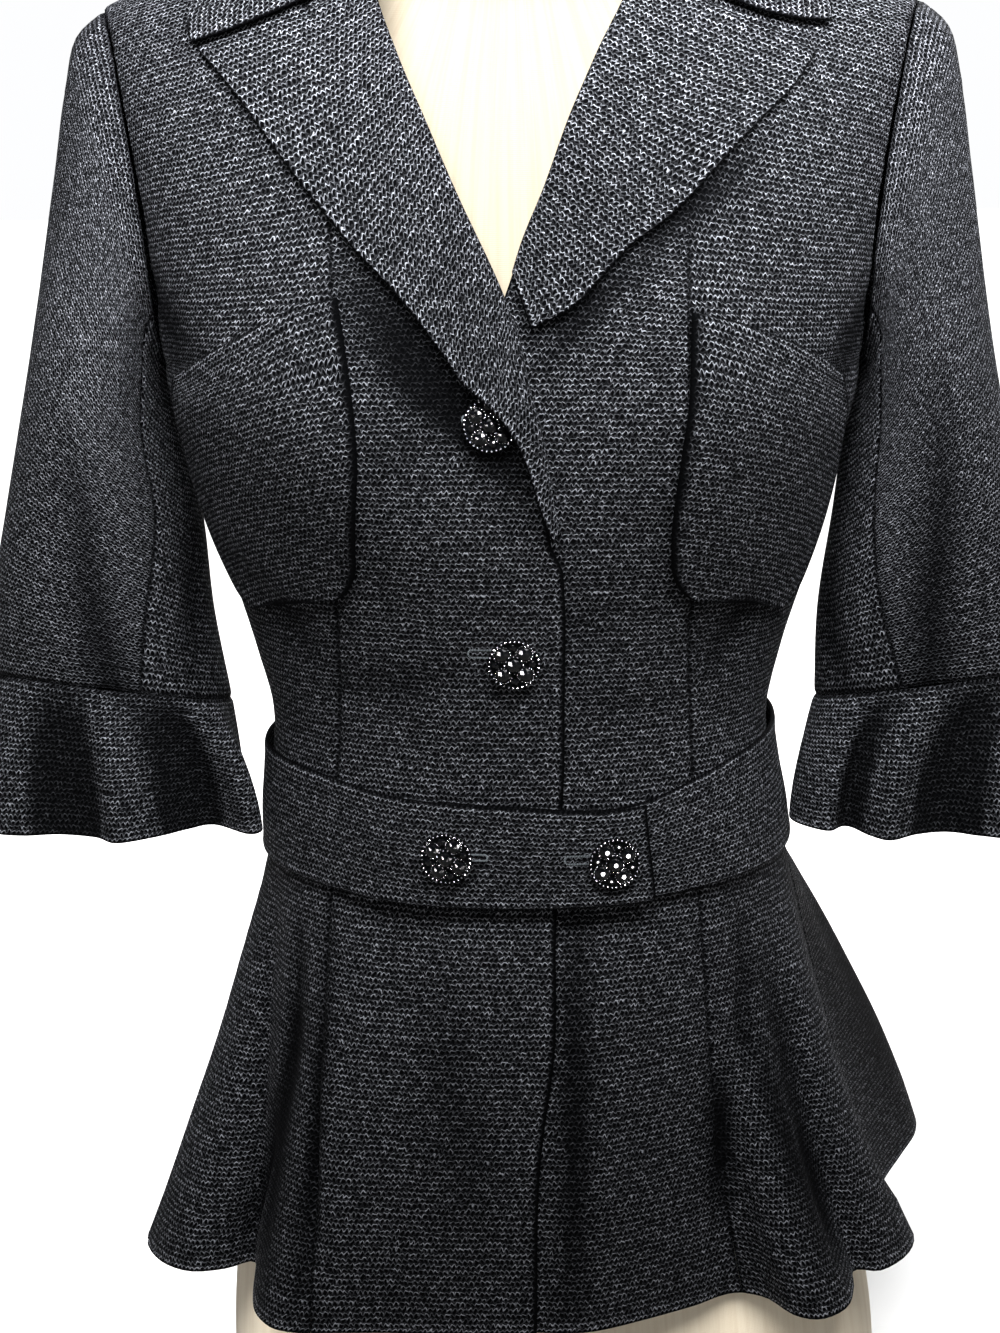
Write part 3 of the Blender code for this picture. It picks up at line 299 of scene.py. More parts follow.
# %% [markdown]
# ## Creases
#
# Crepe this thick bends softly. It has few creases, and each is a shallow trough or a low ridge of its own
# length, width and depth. They are placed in a short table: start, end, how far the middle bows aside, width
# and depth. Positive depths are ridges. The same table serves the cloth and all that lies on it, so a pocket
# never floats over a trough or sinks in a ridge. A second table has the same columns and moves nothing. It
# darkens soft strips of cloth where a lapel's edge or a steep fold keeps the light off.

# %% Creases of the body
DEGREES_PER_METRE = 480.0
BODY_CREASES = (
    # start angle, start height, end angle, end height, bow aside, width, depth
    # peplum, front
    (-60.0, 0.306, -61.0, 0.196, 0.003, 0.0065, -0.0026),
    (-57.0, 0.262, -59.0, 0.118, -0.004, 0.0080, -0.0032),
    (-48.0, 0.240, -36.0, 0.122, 0.002, 0.0110, 0.0026),
    (-22.0, 0.292, -13.0, 0.160, 0.003, 0.0140, -0.0014),
    (17.0, 0.290, 24.0, 0.150, -0.002, 0.0140, 0.0014),
    (59.6, 0.306, 50.8, 0.172, 0.002, 0.0070, -0.0022),
    (53.5, 0.240, 57.0, 0.120, -0.003, 0.0110, 0.0030),
    (65.0, 0.285, 66.0, 0.132, 0.004, 0.0080, -0.0026),
    (-50.2, 0.236, -44.6, 0.150, 0.000, 0.0036, -0.0036),
    (-64.0, 0.216, -74.0, 0.134, 0.004, 0.0060, -0.0036),
    (46.9, 0.216, 46.0, 0.150, 0.001, 0.0040, -0.0016),
    (66.6, 0.196, 65.8, 0.128, 0.002, 0.0060, -0.0020),
    (86.0, 0.228, 83.0, 0.138, 0.003, 0.0060, -0.0040),
    # bodice, front
    (-67.0, 0.476, -50.0, 0.420, 0.004, 0.0085, -0.0018),
    (62.0, 0.468, 48.0, 0.412, -0.003, 0.0085, -0.0018),
    (-80.0, 0.590, -58.0, 0.548, 0.005, 0.0095, -0.0026),
    (79.0, 0.582, 60.0, 0.536, -0.005, 0.0095, -0.0028),
    (-52.0, 0.409, -21.0, 0.414, 0.003, 0.0060, -0.0013),
    (14.0, 0.411, 47.0, 0.406, -0.003, 0.0060, -0.0013),
    (-10.0, 0.430, -33.0, 0.417, 0.003, 0.0080, -0.0011),
    (-11.0, 0.545, -30.0, 0.505, -0.004, 0.0100, -0.0012),
    (8.0, 0.436, 27.0, 0.447, 0.003, 0.0090, -0.0010),
    # sides and back
    (96.0, 0.455, 118.0, 0.425, 0.004, 0.0080, -0.0020),
    (-99.0, 0.462, -121.0, 0.430, -0.003, 0.0080, -0.0018),
    (150.0, 0.421, 174.0, 0.407, 0.004, 0.0075, -0.0020),
    (-148.0, 0.427, -171.0, 0.411, -0.004, 0.0080, -0.0018),
    (131.0, 0.449, 156.0, 0.432, 0.003, 0.0090, -0.0014),
    (-134.0, 0.444, -158.0, 0.437, 0.002, 0.0090, -0.0013),
    (121.0, 0.600, 149.0, 0.524, 0.006, 0.0120, -0.0018),
    (-123.0, 0.608, -147.0, 0.533, -0.005, 0.0120, -0.0016),
    (165.0, 0.293, 172.0, 0.150, 0.003, 0.0100, -0.0028),
    (-160.0, 0.290, -168.0, 0.138, -0.003, 0.0100, -0.0030),
    (141.0, 0.284, 135.0, 0.140, 0.004, 0.0095, -0.0024),
    (-138.0, 0.286, -131.0, 0.132, -0.004, 0.0095, -0.0026),
    (104.0, 0.290, 108.0, 0.150, 0.003, 0.0090, -0.0024),
    (-106.0, 0.288, -111.0, 0.155, -0.003, 0.0090, -0.0024),
)
# Strips of painted shadow beside the lapels and the peplum's folds; they move nothing
SHADOWS = (
    # start angle, start height, end angle, end height, bow aside, width, depth of a trough as dark
    # beside the lapels
    (-34.0, 0.589, 7.0, 0.506, 0.000, 0.0112, -0.0044),
    (7.0, 0.5605, 27.0, 0.5845, 0.000, 0.0055, -0.0032),
    (24.0, 0.5810, 47.0, 0.6250, 0.000, 0.0055, -0.0032),
    # beside the folds of the peplum and its front edge
    (47.2, 0.236, 45.2, 0.158, 0.001, 0.0056, -0.0038),
    (58.4, 0.252, 63.6, 0.128, 0.002, 0.0066, -0.0030),
    (-50.4, 0.318, -47.6, 0.112, 0.001, 0.0046, -0.0032),
    (-56.4, 0.262, -58.0, 0.112, -0.003, 0.0074, -0.0028),
    (14.6, 0.330, 13.0, 0.104, 0.000, 0.0082, -0.0028),
)
BELT_ZONE = (0.300, 0.312, 0.385, 0.400)
SWELL = 0.0004
# How strong the painted shade is at the foot of troughs and inside hollows
DARKEST_TROUGH = 0.0034
TROUGH_DARK = 0.82
HOLLOW_DARK = 0.7


def crease_depth(across, along, rows, per_metre):
    """Sum of soft troughs and ridges at places given by two coordinates. per_metre scales the first."""
    across, along = np.broadcast_arrays(np.asarray(across, float) / per_metre, np.asarray(along, float))
    total = np.zeros(across.shape)
    steps = np.linspace(0, 1, 9)
    for from_across, from_along, to_across, to_along, bow, width, depth in rows:
        start = np.array((from_across / per_metre, from_along))
        end = np.array((to_across / per_metre, to_along))
        aside = np.array((start[1] - end[1], end[0] - start[0]))
        aside = aside / np.linalg.norm(aside)
        path = start + (end - start) * steps[:, None] + aside * bow * 4 * (steps * (1 - steps))[:, None]
        near = np.full(across.shape, 1e9)
        place = np.zeros(across.shape)
        for k in range(len(path) - 1):
            run = path[k + 1] - path[k]
            t = ((across - path[k, 0]) * run[0] + (along - path[k, 1]) * run[1]) / (run @ run)
            t = np.clip(t, 0, 1)
            away = np.hypot(across - path[k, 0] - run[0] * t, along - path[k, 1] - run[1] * t)
            closer = away < near
            near = np.where(closer, away, near)
            place = np.where(closer, (k + t) / (len(path) - 1), place)
        fade = np.sin(np.pi * np.clip(place, 0.0, 1.0)) ** 0.7
        total += depth * fade * np.exp(-((near / width) ** 2))
    return total


def trough_shade(depth):
    """Painted shade: how much the foot of a trough is darkened, as if the light were kept out."""
    return np.clip(-depth / DARKEST_TROUGH, 0.0, 1.0) * TROUGH_DARK


def hollow_shade(loops, deep):
    """Painted shade: how much closed loops of points are darkened where they lie inside their own smoothed
    line.
    """
    reach = np.linalg.norm(loops - loops[:, :-1].mean(axis=1, keepdims=True), axis=-1)
    spread = loops.shape[1] // 9
    turned = [np.roll(reach[:, :-1], k, axis=1) for k in range(-spread, spread + 1)]
    smooth = np.mean(turned, axis=0)
    smooth = np.concatenate([smooth, smooth[:, :1]], axis=1)
    return np.clip((smooth - reach) / deep, 0.0, 1.0) * HOLLOW_DARK


def relief(angle, height):
    """How far the cloth stands out from the plain surface, apart from under the belt."""
    turned = (np.asarray(angle, float) + 180) % 360 - 180
    height = np.asarray(height, float)
    low, low_full, high_full, high = BELT_ZONE
    free = 1 - ramp(height, low, low_full) * (1 - ramp(height, high_full, high))
    depth = crease_depth(turned, height, BODY_CREASES, DEGREES_PER_METRE)
    swell = SWELL * np.sin(np.radians(turned) * 7 + 31 * height) * np.sin(43 * height + 1)
    return (depth + swell) * free


def body(angle, height, lift=0.0):
    """A point on the creased cloth of the body, moved out by lift."""
    angle, height, lift = np.broadcast_arrays(*(np.asarray(v, float) for v in (angle, height, lift)))
    out = lift + relief(angle, height)
    return body_point(angle, height) + outward(angle, height) * out[..., None]


print("creases on the body:", len(BODY_CREASES))

# %% [markdown]
# ## Thin shells with real edges
#
# A sewn panel isn't a bare surface: cloth has thickness, an open edge is turned in and looks round, and a
# seam pulls the cloth down into a narrow groove. `shell` takes a grid of points on the outer face and adds
# an inner face. Near an open edge both faces bend towards each other. Near a seam the outer face sinks. The
# UV map holds real metres along the cloth's threads, so the weave has one size on all pieces. Each point also
# holds its painted light and shade. Painted shadow makes dark lines beside seams and edges and in troughs,
# and a painted highlight makes a pale rim along turned edges.

# %% Shells
WALL = 0.0017
EDGE_ROUND = 0.0013
SEAM_DIP = 0.0009
SEAM_WIDE = 0.0015
EDGE_ROWS = (0.0, 0.0004, 0.0009, 0.0015, 0.0023, 0.0036)
PUCKER = 0.00016
EDGE_PAINTED_LIGHT = {
    # kind of edge: share and reach of the painted dark line of shadow, then share, place and reach of the
    # painted pale rim of highlight
    "seam": (0.60, 0.0011, 0.0, 0.003, 0.001),
    "patch": (1.0, 0.0034, 0.0, 0.005, 0.001),
    "lap": (1.0, 0.0021, 0.30, 0.0042, 0.0012),
    "open": (0.95, 0.0009, 0.45, 0.0025, 0.0010),
}
# The width, length and area of each shell's flat cut
shells = {}


def grid_normals(grid):
    """Unit normals of a grid of points, rows along and columns across."""
    normal = np.cross(np.gradient(grid, axis=1), np.gradient(grid, axis=0))
    return normal / np.maximum(np.linalg.norm(normal, axis=-1, keepdims=True), 1e-12)


def run_lengths(grid, axis):
    """Distance from the first point of each row or column."""
    step = np.linalg.norm(np.diff(grid, axis=axis), axis=-1)
    total = np.cumsum(step, axis=axis)
    zero = np.zeros_like(np.take(total, [0], axis=axis))
    return np.concatenate([zero, total], axis=axis)


def shares(count, ends, length):
    """Shares from 0 to 1 with extra ones close to both ends, where an edge or a seam bends the cloth."""
    near = np.array(EDGE_ROWS) / length
    low = near if ends[0] else near[:1]
    high = near if ends[1] else near[:1]
    middle = np.linspace(low[-1], 1 - high[-1], count)
    return np.concatenate([low[:-1], middle, (1 - high[:-1])[::-1]])


def seam_groove(away, along, seed):
    """Depth of a seam's groove, with the small puckers that its stitches pull beside it."""
    pucker = PUCKER * np.sin(along * 610 + seed * 1.7 + 1.3 * np.sin(along * 143 + seed))
    return SEAM_DIP * np.exp(-((away / SEAM_WIDE) ** 2)) + pucker * np.exp(-((away / 0.005) ** 2))


def shell(name, outer, normal, edges, finish, thick=WALL, uv_turn=0.0, uv_shift=(0.0, 0.0), shade=0.0):
    """A closed thin shell. edges gives the kinds of its first and last column and its first and last row."""
    rows, columns = outer.shape[:2]
    across = run_lengths(outer, 1)
    along = run_lengths(outer, 0)
    away = (across, across[:, -1:] - across, along, along[-1:] - along)
    sink = np.zeros((rows, columns))
    dip = np.zeros((rows, columns))
    # Painted light and shade of each point: positive values are painted shadow, negative ones a painted pale
    # highlight
    painted_shade_and_highlight = np.zeros((rows, columns)) + shade
    for k, (kind, distance) in enumerate(zip(edges, away)):
        # Each kind of edge paints a dark line of shadow at the edge, and turned edges also a pale rim of
        # highlight a little way in
        dark, reach, pale, place, rim = EDGE_PAINTED_LIGHT.get(kind, (0.0, 1.0, 0.0, 1.0, 1.0))
        mark = dark * np.exp(-((distance / reach) ** 4)) - pale * np.exp(-(((distance - place) / rim) ** 2))
        painted_shade_and_highlight = np.where(np.abs(mark) > np.abs(painted_shade_and_highlight), mark, painted_shade_and_highlight)
        if kind in ("open", "lap", "patch"):
            part = np.clip(1 - distance / EDGE_ROUND, 0, 1)
            sink = np.maximum(sink, thick * 0.45 * (1 - np.sqrt(1 - part**2)))
        if kind == "seam":
            dip = np.maximum(dip, seam_groove(distance, along if k < 2 else across, k + len(name)))
    top = outer - normal * (sink + dip)[..., None]
    under = outer - normal * (thick - sink + 0.3 * dip)[..., None]
    middle = across[:, columns // 2]
    u = across - middle[:, None]
    v = np.repeat(along[:, columns // 2][:, None], columns, axis=1)
    cosine, sine = math.cos(math.radians(uv_turn)), math.sin(math.radians(uv_turn))
    uv = np.stack([u * cosine - v * sine + uv_shift[0], u * sine + v * cosine + uv_shift[1]], axis=-1)
    made = grid_object(name, top, under, uv, finish)
    # The painted light and shade is kept as a point attribute, which the cloth's shader reads
    layer = made.data.attributes.new("painted_shade_and_highlight", "FLOAT", "POINT")
    layer.data.foreach_set("value", np.tile(painted_shade_and_highlight.reshape(-1), 2).astype(np.float32))
    shells[name] = (float(np.ptp(u)), float(along[-1].max()), grid_area(outer))
    return made


def grid_area(grid):
    """Area of a grid's faces, which is the area of the flat cut."""
    one, other = grid[1:, 1:] - grid[:-1, :-1], grid[1:, :-1] - grid[:-1, 1:]
    return float(np.linalg.norm(np.cross(one, other), axis=-1).sum() / 2)


def grid_object(name, top, under, uv, finish):
    """One closed mesh from two grids of points, joined round all four edges."""
    rows, columns = top.shape[:2]
    count = rows * columns
    index = np.arange(count).reshape(rows, columns)
    a, b, c, d = (q.reshape(-1) for q in (index[:-1, :-1], index[:-1, 1:], index[1:, 1:], index[1:, :-1]))
    faces = [np.stack([a, b, c, d], 1), np.stack([a, d, c, b], 1) + count]
    for line in (index[0][::-1], index[-1], index[:, 0], index[::-1, -1]):
        p, q = line[:-1], line[1:]
        faces.append(np.stack([p, q, q + count, p + count], 1))
    faces = np.concatenate(faces)
    points = np.concatenate([top.reshape(-1, 3), under.reshape(-1, 3)])
    return mesh_object(name, points, faces, np.tile(uv.reshape(-1, 2), (2, 1)), finish)


def mesh_object(name, points, faces, uv, finish, smooth=True):
    """An object in the scene from points and faces, with an optional place on the threads for each point."""
    mesh = bpy.data.meshes.new(name)
    mesh.from_pydata([tuple(map(float, p)) for p in points], [], [tuple(map(int, f)) for f in faces])
    if uv is not None:
        layer = mesh.uv_layers.new(name="threads")
        order = np.zeros(len(mesh.loops), np.int32)
        mesh.loops.foreach_get("vertex_index", order)
        layer.data.foreach_set("uv", np.asarray(uv, np.float32)[order].reshape(-1))
    if smooth:
        mesh.shade_smooth()
        mesh.set_sharp_from_angle(angle=math.radians(60))
    mesh.materials.append(finish)
    made = bpy.data.objects.new(name, mesh)
    bpy.context.scene.collection.objects.link(made)
    return made


print("wall", WALL, "edge", EDGE_ROUND)

# %% [markdown]
# ## Shader maths written as sums
#
# A weave is arithmetic on the cloth's coordinates. Wiring that by hand takes dozens of nodes, so `Value`
# wraps a socket and turns `a * b + 1` into Math nodes. `Shader.node` is the one way in which all other nodes
# are made: type, settings, then the values or links of its sockets.

# %% Node helpers
class Value:
    """An output socket that can be used in sums."""

    def __init__(self, shader, socket):
        self.shader = shader
        self.socket = socket

    def math(self, operation, *inputs):
        return self.shader.node("ShaderNodeMath", {"operation": operation}, dict(enumerate(inputs)))["Value"]

    def __add__(self, other):
        return self.math("ADD", self, other)

    def __radd__(self, other):
        return self.math("ADD", other, self)

    def __sub__(self, other):
        return self.math("SUBTRACT", self, other)

    def __rsub__(self, other):
        return self.math("SUBTRACT", other, self)

    def __mul__(self, other):
        return self.math("MULTIPLY", self, other)

    def __truediv__(self, other):
        return self.math("DIVIDE", self, other)

    def __pow__(self, other):
        return self.math("POWER", self, other)

    def floor(self):
        return self.math("FLOOR", self)

    def fraction(self):
        return self.math("FRACT", self)

    def sine(self):
        return self.math("SINE", self)

    def root(self):
        return self.math("SQRT", self)

    def size(self):
        return self.math("ABSOLUTE", self)

    def smaller(self, other):
        return self.math("MINIMUM", self, other)

    def soft(self, start, end):
        """0 at start and 1 at end, with a soft rise between."""
        ranged = {"interpolation_type": "SMOOTHSTEP"}
        sockets = {"Value": self, "From Min": start, "From Max": end, "To Min": 0.0, "To Max": 1.0}
        return self.shader.node("ShaderNodeMapRange", ranged, sockets)["Result"]


class Outputs:
    """The outputs of a node by name."""

    def __init__(self, shader, node):
        self.shader = shader
        self.node = node

    def __getitem__(self, name):
        found = [s for s in self.node.outputs if s.name == name and s.enabled]
        return Value(self.shader, found[0])


class Shader:
    """A material that is built from Python."""

    def __init__(self, name):
        self.material = bpy.data.materials.new(name)
        self.material.use_nodes = True
        self.tree = self.material.node_tree
        self.surface = self.tree.nodes["Principled BSDF"]

    @classmethod
    def of_tree(cls, tree):
        """The same helpers for a tree that isn't a material's."""
        made = cls.__new__(cls)
        made.tree = tree
        return made

    def node(self, kind, settings=None, sockets=None):
        made = self.tree.nodes.new(kind)
        for key, value in (settings or {}).items():
            setattr(made, key, value)
        for key, value in (sockets or {}).items():
            if isinstance(key, int):
                target = made.inputs[key]
            else:
                target = [s for s in made.inputs if s.name == key and s.enabled][0]
            self.feed(target, value)
        return Outputs(self, made)

    def feed(self, target, value):
        if isinstance(value, Value):
            self.tree.links.new(value.socket, target)
        else:
            target.default_value = value

    def set(self, **values):
        for key, value in values.items():
            self.feed(self.surface.inputs[key.replace("_", " ")], value)

    def threads(self):
        """The cloth's own coordinates in metres: across and along."""
        place = self.node("ShaderNodeUVMap", {"uv_map": "threads"})["UV"]
        parts = self.node("ShaderNodeSeparateXYZ", None, {0: place})
        return place, parts["X"], parts["Y"]

    def place(self):
        return self.node("ShaderNodeTexCoord")["Object"]

    def noise(self, vector, scale, detail=2.0, rough=0.5):
        """Noise between 0 and 1 with features of 1 / scale metres."""
        sockets = {"Vector": vector, "Scale": scale, "Detail": detail, "Roughness": rough}
        return self.node("ShaderNodeTexNoise", {"noise_dimensions": "3D"}, sockets)["Fac"]

    def mix(self, share, first, second):
        """A mix of two colours."""
        settings = {"data_type": "RGBA", "blend_type": "MIX"}
        return self.node("ShaderNodeMix", settings, {"Factor": share, "A": first, "B": second})["Result"]

    def bump(self, height, distance, strength=1.0):
        sockets = {"Height": height, "Distance": distance, "Strength": strength}
        return self.node("ShaderNodeBump", None, sockets)["Normal"]


print("operators ready")

# %% [markdown]
# ## The black crepe
#
# Seen close, the cloth is a net of pale, wavy threads round small dark holes. The rows are about 2.6 mm
# apart and each row is shifted against the one below by half a loop. Each loop is paler on its upper side,
# a painted highlight for light from above. Slubs and chance make some loops paler, and wide, faint clouds
# keep large areas from looking flat. Crepe is matt, so it hardly shines at all. A point attribute of each
# piece holds painted shadow, which darkens the loops beside edges and in troughs, and a painted highlight,
# which brightens a rim beside turned edges.

# %% Woven cloth
THREAD_ACROSS = 0.00235
THREAD_ALONG = 0.00255
DEEP_COLOUR = (0.0006, 0.0006, 0.0008, 1.0)
PALE_COLOUR = (0.325, 0.325, 0.350, 1.0)


def woven_cloth():
    made = Shader("black_woven_cloth")
    place, u, v = made.threads()
    sway = made.noise(place, 95.0, 2.0) - 0.5
    stir = made.noise(place, 420.0, 1.0) - 0.5
    x = u / THREAD_ACROSS + sway * 1.1
    y = v / THREAD_ALONG + stir * 0.9 + sway * 0.8
    y = y + (x * (2 * math.pi)).sine() * 0.11
    row = y.floor()
    x = x + (row * 0.5).fraction() + stir * 0.7
    fx = x.fraction() - 0.5
    fy = y.fraction() - 0.5
    hole = (fx * fx * 1.1 + fy * fy * 1.25).root()
    ring = hole.soft(0.30, 0.43)
    corner = hole.soft(0.50, 0.62)
    # Painted highlight: each loop is paler on its upper side, as if lit from above
    upper = (fy + 0.5).soft(0.30, 0.80)
    fuzz = made.noise(place, 2600.0, 2.0, 0.65)
    slub = made.noise(place, 310.0, 3.0, 0.6)
    cell = made.node("ShaderNodeCombineXYZ", None, {0: x.floor(), 1: row, 2: 0.0})["Vector"]
    chance = made.node("ShaderNodeTexWhiteNoise", {"noise_dimensions": "3D"}, {"Vector": cell})["Value"]
    thread = ring * (1 - corner * 0.85) * (0.26 + upper * 0.74)
    pale = thread * (0.46 + slub.soft(0.40, 0.62) * 0.54) * (0.60 + chance * 0.40) * (0.45 + fuzz)
    large = made.noise(made.place(), 7.0, 2.0)
    # Painted shade and highlight from the point attribute: positive values darken the loops, negative ones
    # brighten them
    painted_shade_and_highlight = made.node("ShaderNodeAttribute", {"attribute_name": "painted_shade_and_highlight"})["Fac"]
    pale = pale * (0.82 + large * 0.36) * (1 - painted_shade_and_highlight)
    pale = pale * (0.18 + pale * 1.30)
    colour = made.mix(pale.smaller(1.0), DEEP_COLOUR, PALE_COLOUR)
    height = ring * (1 - corner * 0.35) * 0.9 + fuzz * 0.2
    made.set(Base_Color=colour, Roughness=0.86 - pale.smaller(1.0) * 0.16)
    made.set(Normal=made.bump(height, 0.0007, 0.85))
    made.set(Specular_IOR_Level=0.02)
    return made.material


cloth = woven_cloth()
print("cloth nodes:", len(cloth.node_tree.nodes))

# %% [markdown]
# ## Other finishes
#
# The form is covered in natural linen over padding. Its cap is turned dark wood. The buttons are black cut
# stones in a matt dark setting, with small polished beads that sparkle here and there. Buttonholes are worked
# in black silk, which is paler than the cloth.

# %% Linen, wood, stones, metal and silk
WEFT_PITCH = 0.00085
WARP_PITCH = 0.00075


def linen():
    made = Shader("natural_linen")
    place, u, v = made.threads()
    weft = (v * (2 * math.pi / WEFT_PITCH)).sine() * 0.5 + 0.5
    warp = (u * (2 * math.pi / WARP_PITCH)).sine() * 0.5 + 0.5
    stretched = made.node("ShaderNodeCombineXYZ", None, {0: u * 260.0, 1: v * 9.0, 2: 0.0})["Vector"]
    streak = made.noise(stretched, 1.0, 3.0, 0.6)
    flecks = made.noise(place, 900.0, 2.0, 0.7)
    tone = streak.soft(0.35, 0.7) * 0.6 + flecks * 0.4
    colour = made.mix(tone, (0.86, 0.755, 0.585, 1.0), (0.745, 0.62, 0.45, 1.0))
    made.set(Base_Color=colour, Roughness=0.85)
    made.set(Normal=made.bump(weft * warp + flecks * 0.4, 0.0002, 0.5))
    made.set(Sheen_Weight=0.1)
    return made.material


def dark_wood():
    made = Shader("dark_wood")
    place = made.place()
    parts = made.node("ShaderNodeSeparateXYZ", None, {0: place})
    bend = made.noise(place, 14.0, 3.0)
    rings = ((parts["Y"] * 420.0 + bend * 9.0).sine() * 0.5 + 0.5) ** 2.0
    pores = made.noise(place, 700.0, 2.0)
    grain = rings * 0.6 + pores * 0.4
    made.set(Base_Color=made.mix(grain, (0.10, 0.055, 0.030, 1.0), (0.045, 0.024, 0.014, 1.0)))
    made.set(Roughness=0.38 + pores * 0.2, Coat_Weight=0.4)
    made.set(Normal=made.bump(grain, 0.0002, 0.3))
    return made.material


def black_stone():
    made = Shader("black_stones")
    cloudy = made.noise(made.place(), 900.0, 2.0)
    made.set(Base_Color=made.mix(cloudy, (0.001, 0.001, 0.0015, 1.0), (0.004, 0.004, 0.005, 1.0)))
    made.set(Roughness=0.04 + cloudy * 0.05, Specular_IOR_Level=0.06)
    return made.material


def gunmetal():
    made = Shader("gunmetal")
    worn = made.noise(made.place(), 1500.0, 3.0)
    made.set(Base_Color=made.mix(worn, (0.001, 0.001, 0.0012, 1.0), (0.006, 0.006, 0.007, 1.0)))
    made.set(Roughness=0.45 + worn * 0.3, Specular_IOR_Level=0.0)
    made.set(Normal=made.bump(worn, 0.0002, 0.5))
    return made.material


def bright_rims():
    made = Shader("polished_rims")
    worn = made.noise(made.place(), 1100.0, 3.0)
    made.set(Base_Color=made.mix(worn.soft(0.53, 0.64), (0.006, 0.006, 0.007, 1.0), (0.24, 0.243, 0.25, 1.0)))
    made.set(Metallic=0.9, Roughness=0.10 + worn * 0.1)
    return made.material


def silk_thread():
    made = Shader("black_silk")
    fibre = made.noise(made.place(), 3000.0, 2.0)
    made.set(Base_Color=made.mix(fibre, (0.04, 0.044, 0.048, 1.0), (0.24, 0.262, 0.275, 1.0)))
    made.set(Roughness=0.45 + fibre * 0.2)
    return made.material


linen_cloth, wood, stone = linen(), dark_wood(), black_stone()
metal, rims, silk = gunmetal(), bright_rims(), silk_thread()
print("finishes:", [m.name for m in (linen_cloth, wood, stone, metal, rims, silk)])

# %% [markdown]
# ## Panels of the body
#
# Eight panels run from the hem to the shoulders: two fronts, two side fronts, two side backs and two backs.
# The princess seams between them give the waist and the flare, with no dart. Each panel is a grid between
# two seam lines. It has extra rows and columns right beside its edges, because that is where cloth bends.

# %% Seam lines
RIDGE_GAP = 0.00011
FRONT_SEAMS = {
    # height, angle
    "right": (
        (0.120, 44.0), (0.200, 47.5), (0.260, 49.5), (0.322, 50.6), (0.385, 48.6), (0.450, 42.0),
        (0.510, 36.5), (0.580, 34.0), (0.620, 34.5), (0.680, 38.0), (0.755, 46.0),
    ),
    "left": (
        (0.120, 47.6), (0.200, 46.0), (0.260, 46.0), (0.322, 46.2), (0.385, 48.0), (0.446, 42.0),
        (0.510, 37.5), (0.574, 35.6), (0.613, 35.5), (0.680, 38.5), (0.755, 46.5),
    ),
}
BACK_SEAM = (
    # height, angle
    (0.120, 132.0), (0.318, 132.0), (0.385, 133.0), (0.460, 138.0), (0.555, 140.0), (0.640, 137.0),
    (0.755, 129.0),
)
ARMHOLE_IN = 19.2
ARMHOLE_ROUND = 0.3
NECK_BACK_ANGLE = 147.0
RIGHT_FRONT_EDGE = (
    # height, angle
    (0.120, 4.3), (0.200, 5.3), (0.250, 8.8), (0.313, 9.4), (0.345, 11.5), (0.373, 13.3), (0.416, 13.5),
    (0.459, 12.5), (0.496, 10.9), (0.531, 8.3), (0.5626, 3.9), (0.5753, -0.4), (0.597, -9.3),
    (0.615, -15.3), (0.636, -20.9), (0.671, -26.6), (0.710, -30.0), (0.755, -31.5),
)
LEFT_FRONT_EDGE = (
    # height, angle
    (0.120, -9.0), (0.322, -11.5), (0.460, -10.5), (0.520, -8.0), (0.5626, -3.5), (0.5753, 0.2),
    (0.5927, 5.5), (0.606, 10.7), (0.6187, 14.0), (0.6355, 18.6), (0.668, 25.8), (0.710, 30.0),
    (0.755, 31.5),
)
RIGHT_LAPEL_LIFT = (
    # height on the roll line, lift
    (0.487, 0.0034), (0.506, 0.0066), (0.531, 0.0098), (0.5626, 0.0092), (0.5753, 0.0070), (0.597, 0.0045),
    (0.615, 0.0036), (0.671, 0.0032),
)
LEFT_LAPEL_LIFT = (
    # height on the roll line, lift
    (0.575, 0.0034), (0.671, 0.0032),
)
FOLD_GAP = 1.0
RIGHT_FOLD_START = 0.485
LEFT_FOLD_START = BREAK + 0.016
OVERLAP_FROM, OVERLAP_FULL = -32, -16
front_seam = {side: table(rows) for side, rows in FRONT_SEAMS.items()}
back_seam = table(BACK_SEAM)
right_front_edge = table(RIGHT_FRONT_EDGE)
left_front_edge = table(LEFT_FRONT_EDGE)
right_lapel_lift = table(RIGHT_LAPEL_LIFT)
left_lapel_lift = table(LEFT_LAPEL_LIFT)

print("front seam at the waist:", float(front_seam["right"](0.385)))

# %% Edges of the panels
def armhole_inset(height):
    """How far the armhole's edge lies from the side seam, in degrees."""
    along = np.clip((height - UNDERARM) / (SHOULDER - UNDERARM) / ARMHOLE_ROUND, 0, 1)
    return ARMHOLE_IN * np.sqrt(np.clip(1 - (1 - along) ** 2, 0, 1))


def gap_angle(angle, height, gap=SEAM_GAP / 2):
    """The girth angle that half a seam's gap takes up there."""
    step = 0.5
    size = np.linalg.norm(body_point(angle + step, height) - body_point(angle - step, height), axis=-1)
    return gap / np.maximum(size, 1e-4)


def overlap_lift(angle):
    """The right front lies on the left one near the buttons."""
    return OVERLAP * ramp(angle, OVERLAP_FROM, OVERLAP_FULL)


def neckline(u):
    """Top edge of a back: low at the nape, up to the shoulder seam at the side of the neck."""
    reach = (180 - NECK_BACK_ANGLE) / (180 - BACK_SEAM[-1][1])
    along = np.clip(u / reach, 0, 1)
    return NAPE + (SHOULDER - NAPE) * (1 - np.sqrt(np.clip(1 - along**2, 0, 1)))


def fold_inset(edge, height, lift, start):
    """How far a front's edge lies behind the roll line, to leave room for the fold."""
    radius = (lift(height) + CLOTH) / 2
    step = 0.002
    slope = (edge(height + step) - edge(height - step)) / (2 * step * DEGREES_PER_METRE)
    inset = radius * DEGREES_PER_METRE * np.sqrt(1 + slope**2) + FOLD_GAP
    return inset * ramp(height, start - 0.014, start)


